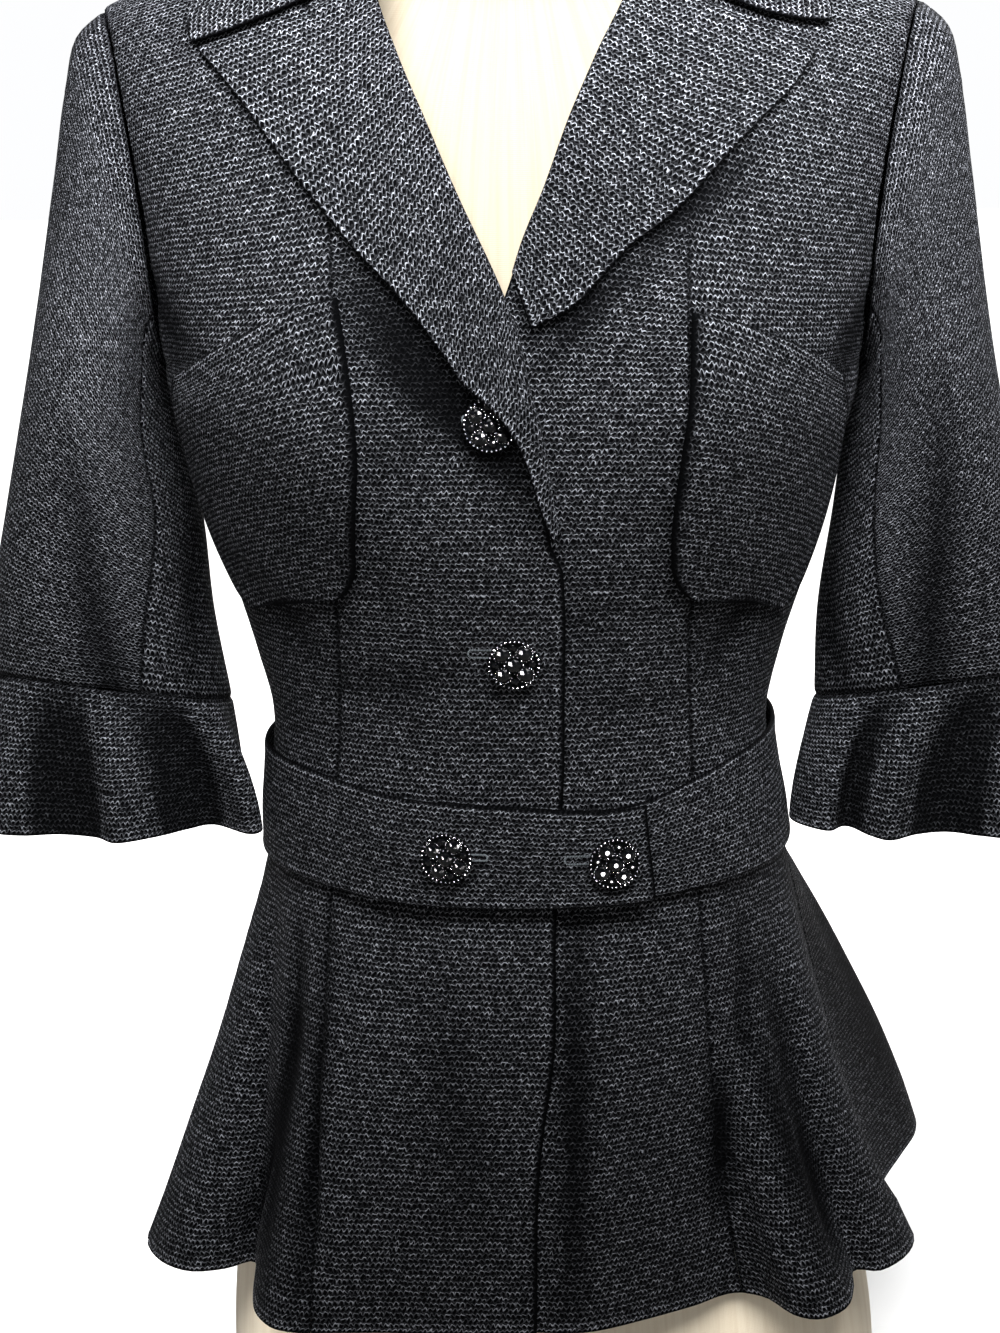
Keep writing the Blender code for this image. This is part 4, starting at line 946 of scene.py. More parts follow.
def beside(edge, way):
    """An edge moved to its own side of the seam's gap."""
    return lambda h: edge(h) + way * gap_angle(edge(h), h)


def mirrored(edge):
    return lambda h: -edge(h)


print("armhole inset at the shoulder:", float(armhole_inset(SHOULDER)))

# %% Panels
PANEL_COLUMNS = 36
HEM_STEPS = (0.0, 0.0004, 0.0009, 0.0015, 0.0024)
LOW_ROWS = 84
ARCH_STEPS = 44
ARCH_CROWDING = 1.35


def panel_heights(top):
    """Fine rows from the hem to the top edge, closer together at the hem and at the shoulder."""
    hem = HEM + np.array(HEM_STEPS)
    low = np.concatenate([hem, np.linspace(HEM + 0.006, UNDERARM, LOW_ROWS)])
    arch = 1 - (1 - np.linspace(0, 1, ARCH_STEPS)[1:]) ** ARCH_CROWDING
    last = (top - RIDGE_GAP - UNDERARM) / (SHOULDER - UNDERARM)
    arch = UNDERARM + (SHOULDER - UNDERARM) * arch[:, None] * last
    return np.concatenate([low[:, None] + 0 * last, arch])


def panel(name, first, last, edges, top, lift):
    """One panel between two seam lines. The normals lie level along the shoulder seam, so the panels meet."""
    u = shares(PANEL_COLUMNS, (True, True), 0.10)[None, :]
    height = panel_heights(np.full_like(u, SHOULDER) if top is None else top(u))
    low, high = first(height), last(height)
    angle = low + (high - low) * u
    outer = body(angle, height, 0.0 if lift is None else lift(angle))
    normal = outward(angle, height)
    level = ramp(height, SHOULDER - 0.004, SHOULDER - RIDGE_GAP)
    normal[..., 1] *= 1 - level
    normal /= np.linalg.norm(normal, axis=-1, keepdims=True)
    # Painted shade: darker cloth at the foot of troughs, and in strips beside the lapels and the peplum's
    # folds
    depths = [crease_depth(angle, height, rows, DEGREES_PER_METRE) for rows in (BODY_CREASES, SHADOWS)]
    shade = np.maximum(trough_shade(depths[0]), trough_shade(depths[1]))
    return shell(name, outer, normal, edges, cloth, shade=shade)


def armhole(middle, sign):
    return lambda h: middle + sign * armhole_inset(h)


def right_edge(height):
    return right_front_edge(height) - fold_inset(right_front_edge, height, right_lapel_lift, RIGHT_FOLD_START)


def left_edge(height):
    return left_front_edge(height) + fold_inset(left_front_edge, height, left_lapel_lift, LEFT_FOLD_START)


def at_back(angle):
    """The centre back seam, on the side where it has this angle."""
    return lambda h: angle + 0 * h


def neckline_back(u):
    return neckline(1 - u)


front_r, front_l = mirrored(front_seam["right"]), front_seam["left"]
back_r, back_l = mirrored(back_seam), back_seam
side_r, side_l = armhole(-90, 1), armhole(90, -1)
rear_r, rear_l = armhole(-90, -1), armhole(90, 1)
SEAMED = ("seam", "seam", "open", "seam")
PANELS = (
    # name, from, to, kinds of edge, top edge, lift
    ("front_right", beside(front_r, 1), right_edge, ("seam", "lap", "open", "seam"), None, overlap_lift),
    ("front_left", left_edge, beside(front_l, -1), ("open", "seam", "open", "seam"), None, None),
    ("side_front_right", beside(side_r, 1), beside(front_r, -1), SEAMED, None, None),
    ("side_front_left", beside(front_l, 1), beside(side_l, -1), SEAMED, None, None),
    ("side_back_right", beside(back_r, 1), beside(rear_r, -1), SEAMED, None, None),
    ("side_back_left", beside(rear_l, 1), beside(back_l, -1), SEAMED, None, None),
    ("back_right", beside(at_back(-180), 1), beside(back_r, -1), SEAMED, neckline, None),
    ("back_left", beside(back_l, 1), beside(at_back(180), -1), SEAMED, neckline_back, None),
)
pieces = {}
for name, first, last, edges, top, lift in PANELS:
    pieces[name] = panel(name + "_cloth", first, last, edges, top, lift)
print("panels:", {k: len(p.data.polygons) for k, p in pieces.items()})

# %% [markdown]
# ## Sleeves
#
# Each sleeve is cut in two pieces, upper and under. Their seams run down the front and the back of the arm.
# The head of the sleeve rises from the armhole in a short, rounded step. Then the tube hangs almost straight
# to the elbow. A few long troughs form where it swings forward.

# %% Sleeve shape
SLEEVE_RINGS = {
    # height, middle out, half width, half depth, middle forward, share of the cuff's tilt
    "right": (
        (0.530, 0.1980, 0.0365, 0.0640, 0.002, 0.15), (0.484, 0.1978, 0.0462, 0.0600, 0.004, 0.45),
        (0.440, 0.1995, 0.0525, 0.0540, 0.007, 0.75), (0.398, 0.1975, 0.0580, 0.0490, 0.008, 1.00),
    ),
    "left": (
        (0.530, 0.1955, 0.0360, 0.0640, 0.002, 0.15), (0.484, 0.1972, 0.0447, 0.0600, 0.006, 0.45),
        (0.440, 0.1985, 0.0527, 0.0540, 0.008, 0.75), (0.398, 0.2027, 0.0578, 0.0490, 0.008, 1.00),
    ),
}
CUFF_TILT_OUT = 0.13
CUFF_TILT_FORWARD = 0.17
CUFF_TILT_FROM = 0.195
CAP_STEPS = (
    # out at the underarm, out at the shoulder, forward, down at the underarm, down at the shoulder
    (0.0006, 0.0130, 0.0040, 0.004, 0.011), (0.0016, 0.0202, 0.0075, 0.011, 0.035),
)
CAP_SHARE = 0.25
SLEEVE_EDGE_GAP = 0.0007
SIGN = {"right": -1, "left": 1}
ARCH_ROWS = (0.555, 0.561, 0.573, 0.595, 0.630, 0.678, 0.722, 0.755)


def armhole_edge(sign, share):
    """The armhole's seam by the share of its length: 0 at the underarm, 0.5 at the shoulder, 1 back again."""
    height = np.array(ARCH_ROWS)
    height[-1] -= RIDGE_GAP
    front = body_point(sign * (90 - armhole_inset(height)), height)
    back = body_point(sign * (90 + armhole_inset(height)), height)
    halves = []
    for line in (front, back):
        length = run_lengths(line, 0)
        halves.append(length / length[-1] / 2)
    loop = np.concatenate([front, back[::-1]])
    keys = np.concatenate([halves[0], 1 - halves[1][::-1]])
    return np.stack([np.interp(share, keys, loop[:, k]) for k in range(3)], axis=-1)


def sleeve_ring(sign, around, row):
    """One oval of the sleeve. Around is 0 at the underarm, 90 in front, 180 outside and 270 at the back."""
    height, out, half, depth, forward, tilt = row
    a = np.radians(around)
    reach = out - half * np.cos(a)
    y = -forward - depth * np.sin(a)
    z = height + tilt * (CUFF_TILT_OUT * (reach - CUFF_TILT_FROM) - CUFF_TILT_FORWARD * y)
    return np.stack([sign * reach, y, z], axis=-1)


def sleeve_lines(side, around):
    """The lines that each angle of a sleeve runs along, from the armhole to the cuff's seam."""
    sign = SIGN[side]
    start = armhole_edge(sign, np.mod(around, 360) / 360)
    a = np.radians(around)
    outer = 0.5 - 0.5 * np.cos(a)
    lines = [start]
    for low_out, high_out, forward, low_down, high_down in CAP_STEPS:
        out = sign * (low_out + (high_out - low_out) * outer**0.8)
        down = low_down + (high_down - low_down) * outer
        lines.append(start + np.stack([out, -forward * np.sin(a), -down], axis=-1))
    rings = [sleeve_ring(sign, around, row) for row in SLEEVE_RINGS[side]]
    lines.append(lines[-1] + (rings[0] - lines[-1]) * CAP_SHARE)
    away = lines[1] - start
    lines[0] = start + away * (SLEEVE_EDGE_GAP / np.linalg.norm(away, axis=-1, keepdims=True))
    return np.stack(lines + rings)


def sleeve_point(side, around, along):
    """Outer face of a sleeve, from the armhole at 0 to the cuff's seam at 1."""
    around = np.asarray(around, float)
    lines = sleeve_lines(side, around)
    columns = []
    for i in range(len(around)):
        line = lines[:, i]
        length = run_lengths(line, 0)
        columns.append(curve(length, line)(along[i] * length[-1]))
    return np.stack(columns)


SLEEVE_FRONT_SEAM = ((0.0, 42.0), (0.5, 45.0), (1.0, 68.0))
SLEEVE_BACK_SEAM = ((0.0, 300.0), (0.5, 305.0), (1.0, 300.0))
front_sleeve_seam = table(SLEEVE_FRONT_SEAM)
back_sleeve_seam = table(SLEEVE_BACK_SEAM)
SLEEVE_SEAM_GAP = 0.06
print("cuff seam, outside:", np.round(sleeve_point("left", [180.0], [1.0])[0], 3))

# %% Sleeves
SLEEVE_DEGREES = 900.0
SLEEVE_LENGTH = 0.34
SLEEVE_UV_SHIFT = (0.013, 0.007)
SLEEVE_CREASES = {
    # start around, metres from the armhole, end around, metres from the armhole, bow aside, width, depth
    "right": (
        (96, 0.16, 78, 0.52, 0.006, 0.0130, -0.0026), (128, 0.10, 150, 0.46, -0.005, 0.0160, 0.0016),
        (18, 0.16, 42, 0.34, 0.004, 0.0100, -0.0020),
    ),
    "left": (
        (88, 0.12, 72, 0.44, -0.005, 0.0125, -0.0026), (120, 0.20, 146, 0.58, 0.005, 0.0160, 0.0016),
        (14, 0.20, 40, 0.36, 0.004, 0.0100, -0.0020),
    ),
}


def sleeve_creases(side, around, along):
    around = np.mod(np.asarray(around, float) + 60, 360) - 60
    return crease_depth(around, along * SLEEVE_LENGTH, SLEEVE_CREASES[side], SLEEVE_DEGREES)


def sleeve_piece(name, side, start, end, columns):
    """One half of a sleeve, between two seam lines that are functions of the share from armhole to cuff."""
    share = shares(columns, (True, True), 0.20)
    grid, depth = [], []
    for along in 1 - shares(64, (True, True), 0.36):
        around = start(along) + (end(along) - start(along)) * share
        level = np.full(len(share), along)
        grid.append(sleeve_point(side, around, level))
        depth.append(sleeve_creases(side, around, level))
    outer, depth = np.stack(grid), np.stack(depth)
    if side == "right":
        outer, depth = outer[:, ::-1], depth[:, ::-1]
    normal = grid_normals(outer)
    outer = outer + normal * depth[..., None]
    # Painted shade at the foot of the sleeve's troughs
    shade = trough_shade(depth)
    return shell(name, outer, normal, ("seam",) * 4, cloth, uv_shift=SLEEVE_UV_SHIFT, shade=shade)


def moved(seam, degrees):
    """A sleeve's seam line moved round the arm."""
    return lambda along: seam(along) + degrees


front_seam_start = moved(front_sleeve_seam, SLEEVE_SEAM_GAP)
front_seam_end = moved(front_sleeve_seam, -SLEEVE_SEAM_GAP)
back_seam_start = moved(back_sleeve_seam, SLEEVE_SEAM_GAP - 360)
back_seam_end = moved(back_sleeve_seam, -SLEEVE_SEAM_GAP)
SLEEVE_HALVES = (
    # half, from, to, columns
    ("upper", front_seam_start, back_seam_end, 48),
    ("under", back_seam_start, front_seam_end, 26),
)
for side in SIGN:
    for half, first, last, columns in SLEEVE_HALVES:
        node = f"sleeve_{half}_{side}"
        pieces[node] = sleeve_piece(f"{node}_cloth", side, first, last, columns)
print("sleeves done")

# %% [markdown]
# ## Flounces
#
# The flounce is a circular cut: its inner edge is as long as the cuff, its hem is much longer. The spare
# length falls in flutes. The table gives where the hem swings in and out. Shares from cuff to hem are bowed,
# so a flute opens quickly and then hangs.

# %% Flounces
FLOUNCE_HEM = 0.335
FLOUNCE_DROP = 0.0005
FLOUNCE_BOW = 0.8
FLOUNCE_LEVEL = 0.25
# Depth of a hollow at which its painted shade is full
FLOUNCE_HOLLOW = 0.0035
FLOUNCE_HEMS = {
    "right": (
        # around, out, y
        (0, 0.134, -0.006), (14, 0.130, -0.026), (28, 0.121, -0.046), (40, 0.128, -0.052),
        (52, 0.146, -0.036), (64, 0.157, -0.043), (76, 0.170, -0.056), (88, 0.188, -0.067),
        (100, 0.200, -0.057), (112, 0.217, -0.052), (126, 0.236, -0.054), (140, 0.252, -0.049),
        (156, 0.263, -0.030), (174, 0.272, -0.010), (192, 0.270, 0.010), (210, 0.262, 0.030),
        (228, 0.246, 0.040), (246, 0.231, 0.054), (264, 0.210, 0.050), (282, 0.190, 0.058),
        (300, 0.170, 0.048), (318, 0.154, 0.046), (338, 0.142, 0.022),
    ),
    "left": (
        # around, out, y
        (0, 0.136, -0.004), (16, 0.132, -0.026), (32, 0.138, -0.040), (48, 0.150, -0.049),
        (60, 0.158, -0.041), (72, 0.167, -0.057), (86, 0.177, -0.065), (98, 0.190, -0.055),
        (110, 0.204, -0.051), (124, 0.219, -0.058), (138, 0.236, -0.062), (152, 0.254, -0.044),
        (168, 0.266, -0.028), (186, 0.274, -0.004), (204, 0.264, 0.016), (222, 0.254, 0.040),
        (240, 0.232, 0.046), (258, 0.216, 0.058), (276, 0.194, 0.050), (294, 0.176, 0.054),
        (312, 0.158, 0.042), (330, 0.148, 0.034), (345, 0.140, 0.014),
    ),
}


def flounce_point(side, around, share):
    sign = SIGN[side]
    top = sleeve_ring(sign, around, SLEEVE_RINGS[side][-1]) - (0, 0, FLOUNCE_DROP)
    out, y = np.moveaxis(closed_table(FLOUNCE_HEMS[side])(np.mod(around, 360)), -1, 0)
    hem = np.stack([sign * out, y, np.full_like(y, FLOUNCE_HEM)], axis=-1)
    grown = share * (1 + FLOUNCE_BOW * (1 - share))
    plan = top + (hem - top) * grown
    plan[..., 2] = (top + (hem - top) * share)[..., 2]
    return plan


def flounce(side):
    around = np.linspace(0, 360, 241) + 3.0
    share = 1 - shares(30, (True, True), 0.06)
    outer = np.stack([flounce_point(side, around, s) for s in share])
    if side == "right":
        outer = outer[:, ::-1]
    normal = grid_normals(outer)
    normal[:, 0] = normal[:, -1] = (normal[:, 0] + normal[:, -1]) / 2
    normal *= (1, 1, FLOUNCE_LEVEL)
    normal /= np.linalg.norm(normal, axis=-1, keepdims=True)
    kinds = ("none", "none", "open", "seam")
    # Painted shade inside the flutes, where the cloth lies inside its own smoothed ring
    shade = hollow_shade(outer, FLOUNCE_HOLLOW)
    return shell(f"flounce_{side}_cloth", outer, normal, kinds, cloth, shade=shade)


for side in SIGN:
    pieces[f"flounce_{side}"] = flounce(side)
print("flounces:", [len(pieces[f"flounce_{s}"].data.polygons) for s in SIGN])

# %% [markdown]
# ## Lapels
#
# A lapel is the front's own cloth, turned out at the roll line and pressed. From the outer edge it lies flat
# on the front as far as the roll line. There it turns back under itself in a half circle.

# %% Lapels
RIGHT_LAPEL = (
    # share, roll angle, roll height, edge angle, edge height, bow of the row
    (0.00, 11.2, 0.4900, 9.8, 0.4865, 0.0), (0.10, 10.0, 0.5060, 7.2, 0.5010, 0.0),
    (0.20, 8.3, 0.5310, 3.6, 0.5255, 0.0), (0.32, 3.9, 0.5626, -2.5, 0.5430, 0.0),
    (0.42, -0.4, 0.5753, -10.0, 0.5560, 0.0), (0.55, -9.3, 0.5970, -21.5, 0.5752, 0.0),
    (0.68, -15.3, 0.6150, -31.0, 0.5925, 0.0), (0.82, -20.9, 0.6360, -41.4, 0.6208, 0.0),
    (0.92, -24.3, 0.6540, -48.5, 0.6490, 0.0), (1.00, -26.4, 0.6695, -53.2, 0.6700, 0.0),
)
LEFT_LAPEL = (
    # share, roll angle, roll height, edge angle, edge height, bow of the row
    (0.00, 1.4, 0.5795, 5.6, 0.5670, 0.0), (0.20, 4.0, 0.5880, 15.5, 0.5735, 0.0),
    (0.40, 8.6, 0.6005, 25.0, 0.5880, 0.0), (0.60, 13.4, 0.6170, 34.5, 0.6030, 0.0),
    (0.80, 18.8, 0.6360, 45.0, 0.6310, 0.0), (0.92, 23.4, 0.6550, 50.6, 0.6500, 0.0015),
    (1.00, 25.9, 0.6690, 53.2, 0.6650, 0.0045),
)
LAPEL_COLUMNS = 26
FOLD_STEPS = 10


def lapel(name, sign, rows, lift_at, base, count):
    """A lapel in rows from bottom to top, each from the outer edge to the roll line and round the fold."""
    line = table(rows)
    grid = []
    for share in shares(count, (True, True), 0.16):
        roll, roll_up, edge, edge_up, bow = line(share)
        lift = lift_at(roll_up)
        radius = (lift + CLOTH) / 2
        middle = lift - radius
        length = math.hypot((edge - roll) / DEGREES_PER_METRE, edge_up - roll_up)
        flat = min(radius / length, 0.8)
        across = 1 - shares(LAPEL_COLUMNS, (True, False), 0.05)
        start = roll + (edge - roll) * flat
        start_up = roll_up + (edge_up - roll_up) * flat
        angle = start + (edge - start) * across
        height = start_up + (edge_up - start_up) * across + 4 * bow * across * (1 - across)
        puff = lapel_puff(share, across, length)
        top = list(body(angle, height, base(angle) + lift + puff))
        bottom = base(np.array([start]))[0]
        for step in range(1, FOLD_STEPS + 1):
            turn = math.radians(90 + 180 * step / FOLD_STEPS)
            back = 1 + math.cos(turn)
            place = roll + (start - roll) * back
            place_up = roll_up + (start_up - roll_up) * back
            top.append(body(place, place_up, bottom + middle + radius * math.sin(turn)))
        grid.append(np.array(top))
    outer = np.array(grid)
    if sign > 0:
        outer = outer[:, ::-1]
    kinds = ("none", "open", "open", "seam") if sign > 0 else ("open", "none", "open", "seam")
    return shell(name, outer, grid_normals(outer), kinds, cloth)


def lapel_puff(share, across, length):
    """The outer edge lifts a little, and a rolled rim runs along it."""
    away = (1 - across) * length
    return 0.0006 * across**2 + 0.0005 * np.exp(-(((away - 0.0022) / 0.0022) ** 2))


def no_lift(angle):
    return 0.0 * angle


pieces["lapel_right"] = lapel("lapel_right_cloth", -1, RIGHT_LAPEL, right_lapel_lift, overlap_lift, 110)
pieces["lapel_left"] = lapel("lapel_left_cloth", 1, LEFT_LAPEL, left_lapel_lift, no_lift, 90)
print("lapels done")

# %% [markdown]
# ## Collar
#
# The collar stands up the neck, folds over and falls on the shoulders. Its sections are worked out at a few
# stations round the neck, each as a short profile: edge, fall, fold and stand. A smooth curve through the
# stations gives the fine grid.

# %% Collar
COLLAR_STAND = 0.027
COLLAR_LIFT = 0.0032
COLLAR_ROWS = (
    # neck angle, neck height, edge angle, edge height, bow of the row, share of the stand
    (-28.3, 0.6710, -53.8, 0.6735, 0.0000, 0.00), (-29.4, 0.6900, -54.2, 0.6870, 0.0000, 0.22),
    (-30.8, 0.7120, -52.6, 0.7020, 0.0000, 0.50), (-31.5, 0.7340, -50.5, 0.7220, 0.0000, 0.80),
    (-31.8, 0.7530, -48.7, 0.7500, 0.0000, 0.95), (-147.6, 0.7500, -130.0, 0.7530, 0.0000, 1.00),
    (-149.0, 0.7307, -131.0, 0.7400, 0.0000, 1.00), (-155.0, 0.7084, -138.0, 0.7080, 0.0000, 1.00),
    (-163.0, 0.6937, -150.0, 0.6800, 0.0000, 1.00), (-171.5, 0.6858, -165.0, 0.6670, 0.0000, 1.00),
    (-180.0, 0.6834, -180.0, 0.6630, 0.0000, 1.00), (171.5, 0.6858, 165.0, 0.6670, 0.0000, 1.00),
    (163.0, 0.6937, 150.0, 0.6800, 0.0000, 1.00), (155.0, 0.7084, 138.0, 0.7080, 0.0000, 1.00),
    (149.0, 0.7307, 131.0, 0.7400, 0.0000, 1.00), (147.6, 0.7500, 130.0, 0.7530, 0.0000, 1.00),
    (31.8, 0.7530, 48.7, 0.7500, 0.0000, 0.95), (31.5, 0.7340, 50.5, 0.7230, 0.0000, 0.80),
    (30.8, 0.7120, 52.8, 0.7050, 0.0000, 0.50), (29.4, 0.6900, 54.6, 0.6920, -0.0020, 0.22),
    (27.8, 0.6710, 54.8, 0.6815, -0.0045, 0.00),
)
COLLAR_FALL = np.array([1.0, 0.82, 0.62, 0.42, 0.24, 0.10, 0.0])
COLLAR_FOLD_STEPS = 4
COLLAR_STAND_STEPS = np.array([0.5, 0.0])


def collar_section(row):
    """One row of the collar: up the fall from its edge, round the fold and down the stand."""
    neck, neck_up, edge, edge_up, bow, share = row
    normal = outward(neck, neck_up)
    seat = body_point(neck, neck_up)
    aside = body_point(neck + (edge - neck) * 0.02, neck_up + (edge_up - neck_up) * 0.02) - seat
    aside = aside - normal * (aside @ normal)
    aside = aside / np.linalg.norm(aside)
    radius = (COLLAR_LIFT + CLOTH) / 2
    lean = math.radians(4 + 62 * share**0.7)
    up = -aside * math.cos(lean) + normal * math.sin(lean)
    out = aside * math.sin(lean) + normal * math.cos(lean)
    stand = radius + (COLLAR_STAND - radius) * share
    bottom = seat - out * CLOTH * math.cos(lean) + up * 0.0024
    turn_from = bottom + up * (stand - radius)
    centre = turn_from + out * radius
    angle = neck + (edge - neck) * COLLAR_FALL
    height = neck_up + (edge_up - neck_up) * COLLAR_FALL + 4 * bow * COLLAR_FALL * (1 - COLLAR_FALL)
    laid = body(angle, height, COLLAR_LIFT)
    top = centre + out * radius
    straight = top + (laid[0] - top) * COLLAR_FALL[:, None]
    blend = ramp(COLLAR_FALL, 0.15, 0.95)[:, None]
    points = list((straight * (1 - blend) + laid * blend)[:-1])
    for step in range(COLLAR_FOLD_STEPS + 1):
        turn = math.pi * step / COLLAR_FOLD_STEPS
        points.append(centre + out * radius * math.cos(turn) + up * radius * math.sin(turn))
    for left in COLLAR_STAND_STEPS:
        points.append(bottom + (turn_from - bottom) * left - up * 0.0004 * (1 - left))
    return np.array(points)


def finer(grid, shares_along):
    """A grid of points drawn again at given shares of its length, with smooth curves between its rows."""
    length = run_lengths(grid, 0)
    lines = []
    for c in range(grid.shape[1]):
        lines.append(curve(length[:, c], grid[:, c])(shares_along * length[-1, c]))
    return np.stack(lines, axis=1)


coarse = np.array([collar_section(row) for row in COLLAR_ROWS])[::-1]
middle_rows = finer(coarse, shares(150, (True, True), 0.5))
collar_grid = finer(middle_rows.transpose(1, 0, 2), shares(48, (True, True), 0.09)).transpose(1, 0, 2)
collar_edges = ("open", "seam", "open", "open")
pieces["collar"] = shell(
    "collar_cloth", collar_grid, grid_normals(collar_grid), collar_edges, cloth, uv_turn=90.0
)
print("collar:", collar_grid.shape)

# %% [markdown]
# ## Belt
#
# The belt is two bands of stiffened cloth, turned in at their edges. They meet at the centre back and overlap
# under the tab. The belt keeps to the waist's plain oval, so the flutes below it hang free.

# %% Belt
BELT_THICK = 0.0024
BELT_EDGES = (
    # angle, lower edge, upper edge
    (-180, 0.330, 0.380), (-90, 0.320, 0.374), (-60, 0.318, 0.372), (-30, 0.316, 0.366),
    (0, 0.3155, 0.3625), (30, 0.3165, 0.3610), (60, 0.320, 0.376), (90, 0.324, 0.384), (180, 0.330, 0.380),
)
BELT_LIFT = 0.0017
UNDER_BAND_LIFT = 0.0046
TAB_BAND_LIFT = 0.0078
BAND_WALL = 0.0022
belt_edges = table(BELT_EDGES)


def belt_point(angle, height, lift):
    """The belt keeps to a plain oval round the waist and doesn't follow the flutes."""
    x, y = ring(angle, height)
    half = 0.4
    x2, y2 = ring(np.add(angle, half), height)
    x1, y1 = ring(np.subtract(angle, half), height)
    along = np.stack([x2 - x1, y2 - y1], axis=-1)
    along = along / np.linalg.norm(along, axis=-1, keepdims=True)
    return np.stack([x + along[..., 1] * lift, y - along[..., 0] * lift, height + 0 * x], axis=-1)


def tab_lift(angle):
    return BELT_LIFT + (TAB_BAND_LIFT - BELT_LIFT) * ramp(angle, -55, -27)


def under_lift(angle):
    return BELT_LIFT + (UNDER_BAND_LIFT - BELT_LIFT) * ramp(-angle, -45, -18)


def band(name, start, end, lift, ends, shift):
    """A band of the belt, with a slight swell between its edges and a low rim along them."""
    angles = start + (end - start) * shares(230, (True, True), 0.45)
    low, high = np.moveaxis(belt_edges(angles), -1, 0)
    share = shares(16, (True, True), 0.05)[:, None]
    height = low + (high - low) * share
    angle = angles + 0 * share
    swell = 0.00035 * np.sin(np.radians(angle) * 9) * np.sin(np.pi * share)
    rim = 0.0004 * np.exp(-((np.minimum(share, 1 - share) * 0.05 - 0.0025) / 0.002) ** 2)
    outer = belt_point(angle, height, lift(angle) + BELT_THICK + swell + rim)
    kinds = (*ends, "open", "open")
    return shell(name, outer, grid_normals(outer), kinds, cloth, thick=BAND_WALL, uv_shift=shift)


BANDS = (
    # node, from, to, lift, kinds of its two ends, shift of the weave
    ("belt_tab_band", -179.9, 33.0, tab_lift, ("seam", "lap"), (0.004, 0.001)),
    ("belt_under_band", -20.0, 179.9, under_lift, ("open", "seam"), (0.009, 0.003)),
)
for node, start, end, lift, ends, shift in BANDS:
    pieces[node] = band(f"{node}_cloth", start, end, lift, ends, shift)
print("belt done")

# %% [markdown]
# ## Pockets
#
# Two patch pockets with round lower corners curve over the bust. Their top edges are faced, so a thicker rim
# runs along them.

# %% Pockets
POCKET_LIFT = 0.0012
POCKET_TALL = 0.115
POCKET_WIDE = 0.08
POCKET_WALL = 0.0019
POCKET_TURN = 5.0
POCKET_EDGES = {
    # share of the height, inner edge's angle, outer edge's angle
    "right": (
        (0.0, 35.6, 70.0), (0.25, 33.0, 73.5), (0.55, 30.4, 73.0), (0.8, 30.8, 69.0), (1.0, 32.7, 65.0),
    ),
    "left": (
        (0.0, 36.2, 70.0), (0.25, 34.2, 73.0), (0.55, 34.6, 72.0), (0.8, 35.6, 68.5), (1.0, 35.7, 65.0),
    ),
}
POCKET_LEVELS = {
    # share of the width, lower edge's height, upper edge's height
    "right": ((0.0, 0.4590, 0.5780), (0.25, 0.4565, 0.5755), (0.5, 0.4530, 0.5690), (1.0, 0.4440, 0.5553)),
    "left": ((0.0, 0.4580, 0.5735), (0.25, 0.4555, 0.5715), (0.5, 0.4520, 0.5670), (1.0, 0.4425, 0.5540)),
}


def pocket(side):
    """A patch pocket between its side edges and its lower and upper edge, with round lower corners."""
    edges = table(POCKET_EDGES[side])
    levels = table(POCKET_LEVELS[side])
    v = shares(44, (True, True), POCKET_TALL)[:, None]
    corner = np.clip(1 - v / 0.14, 0, 1)
    inset = 0.17 * (1 - np.sqrt(1 - corner**2))
    share = shares(34, (True, True), POCKET_WIDE)[None, :]
    u = inset + (1 - 2 * inset) * share
    inner_edge, outer_edge = np.moveaxis(edges(v[:, 0]), -1, 0)
    angle = inner_edge[:, None] + (outer_edge - inner_edge)[:, None] * u
    low, high = np.moveaxis(levels(u), -1, 0)
    height = low + (high - low) * v
    angle = SIGN[side] * angle
    if side == "right":
        angle, height = angle[:, ::-1], height[:, ::-1]
    from_top = (1 - v) * POCKET_TALL
    rim = 0.0007 * np.exp(-(((from_top - 0.002) / 0.0022) ** 2))
    edge = np.minimum(share, 1 - share) * POCKET_WIDE
    edge_rim = 0.0004 * np.exp(-(((edge - 0.0028) / 0.002) ** 2))
    outer = body(angle, height, POCKET_LIFT + CLOTH + rim + edge_rim)
    normal = outward(angle, height)
    kinds = ("patch", "patch", "patch", "open")
    turn = SIGN[side] * POCKET_TURN
    return shell(f"pocket_{side}_cloth", outer, normal, kinds, cloth, thick=POCKET_WALL, uv_turn=turn)


for side in SIGN:
    pieces[f"pocket_{side}"] = pocket(side)
print("pockets done")

# %% [markdown]
# ## The dress form
#
# The form is padded and covered with linen in vertical panels. Its section changes from a broad oval at the
# hips to a small circle at the neck. The same rings as in the solid are drawn with many more points.

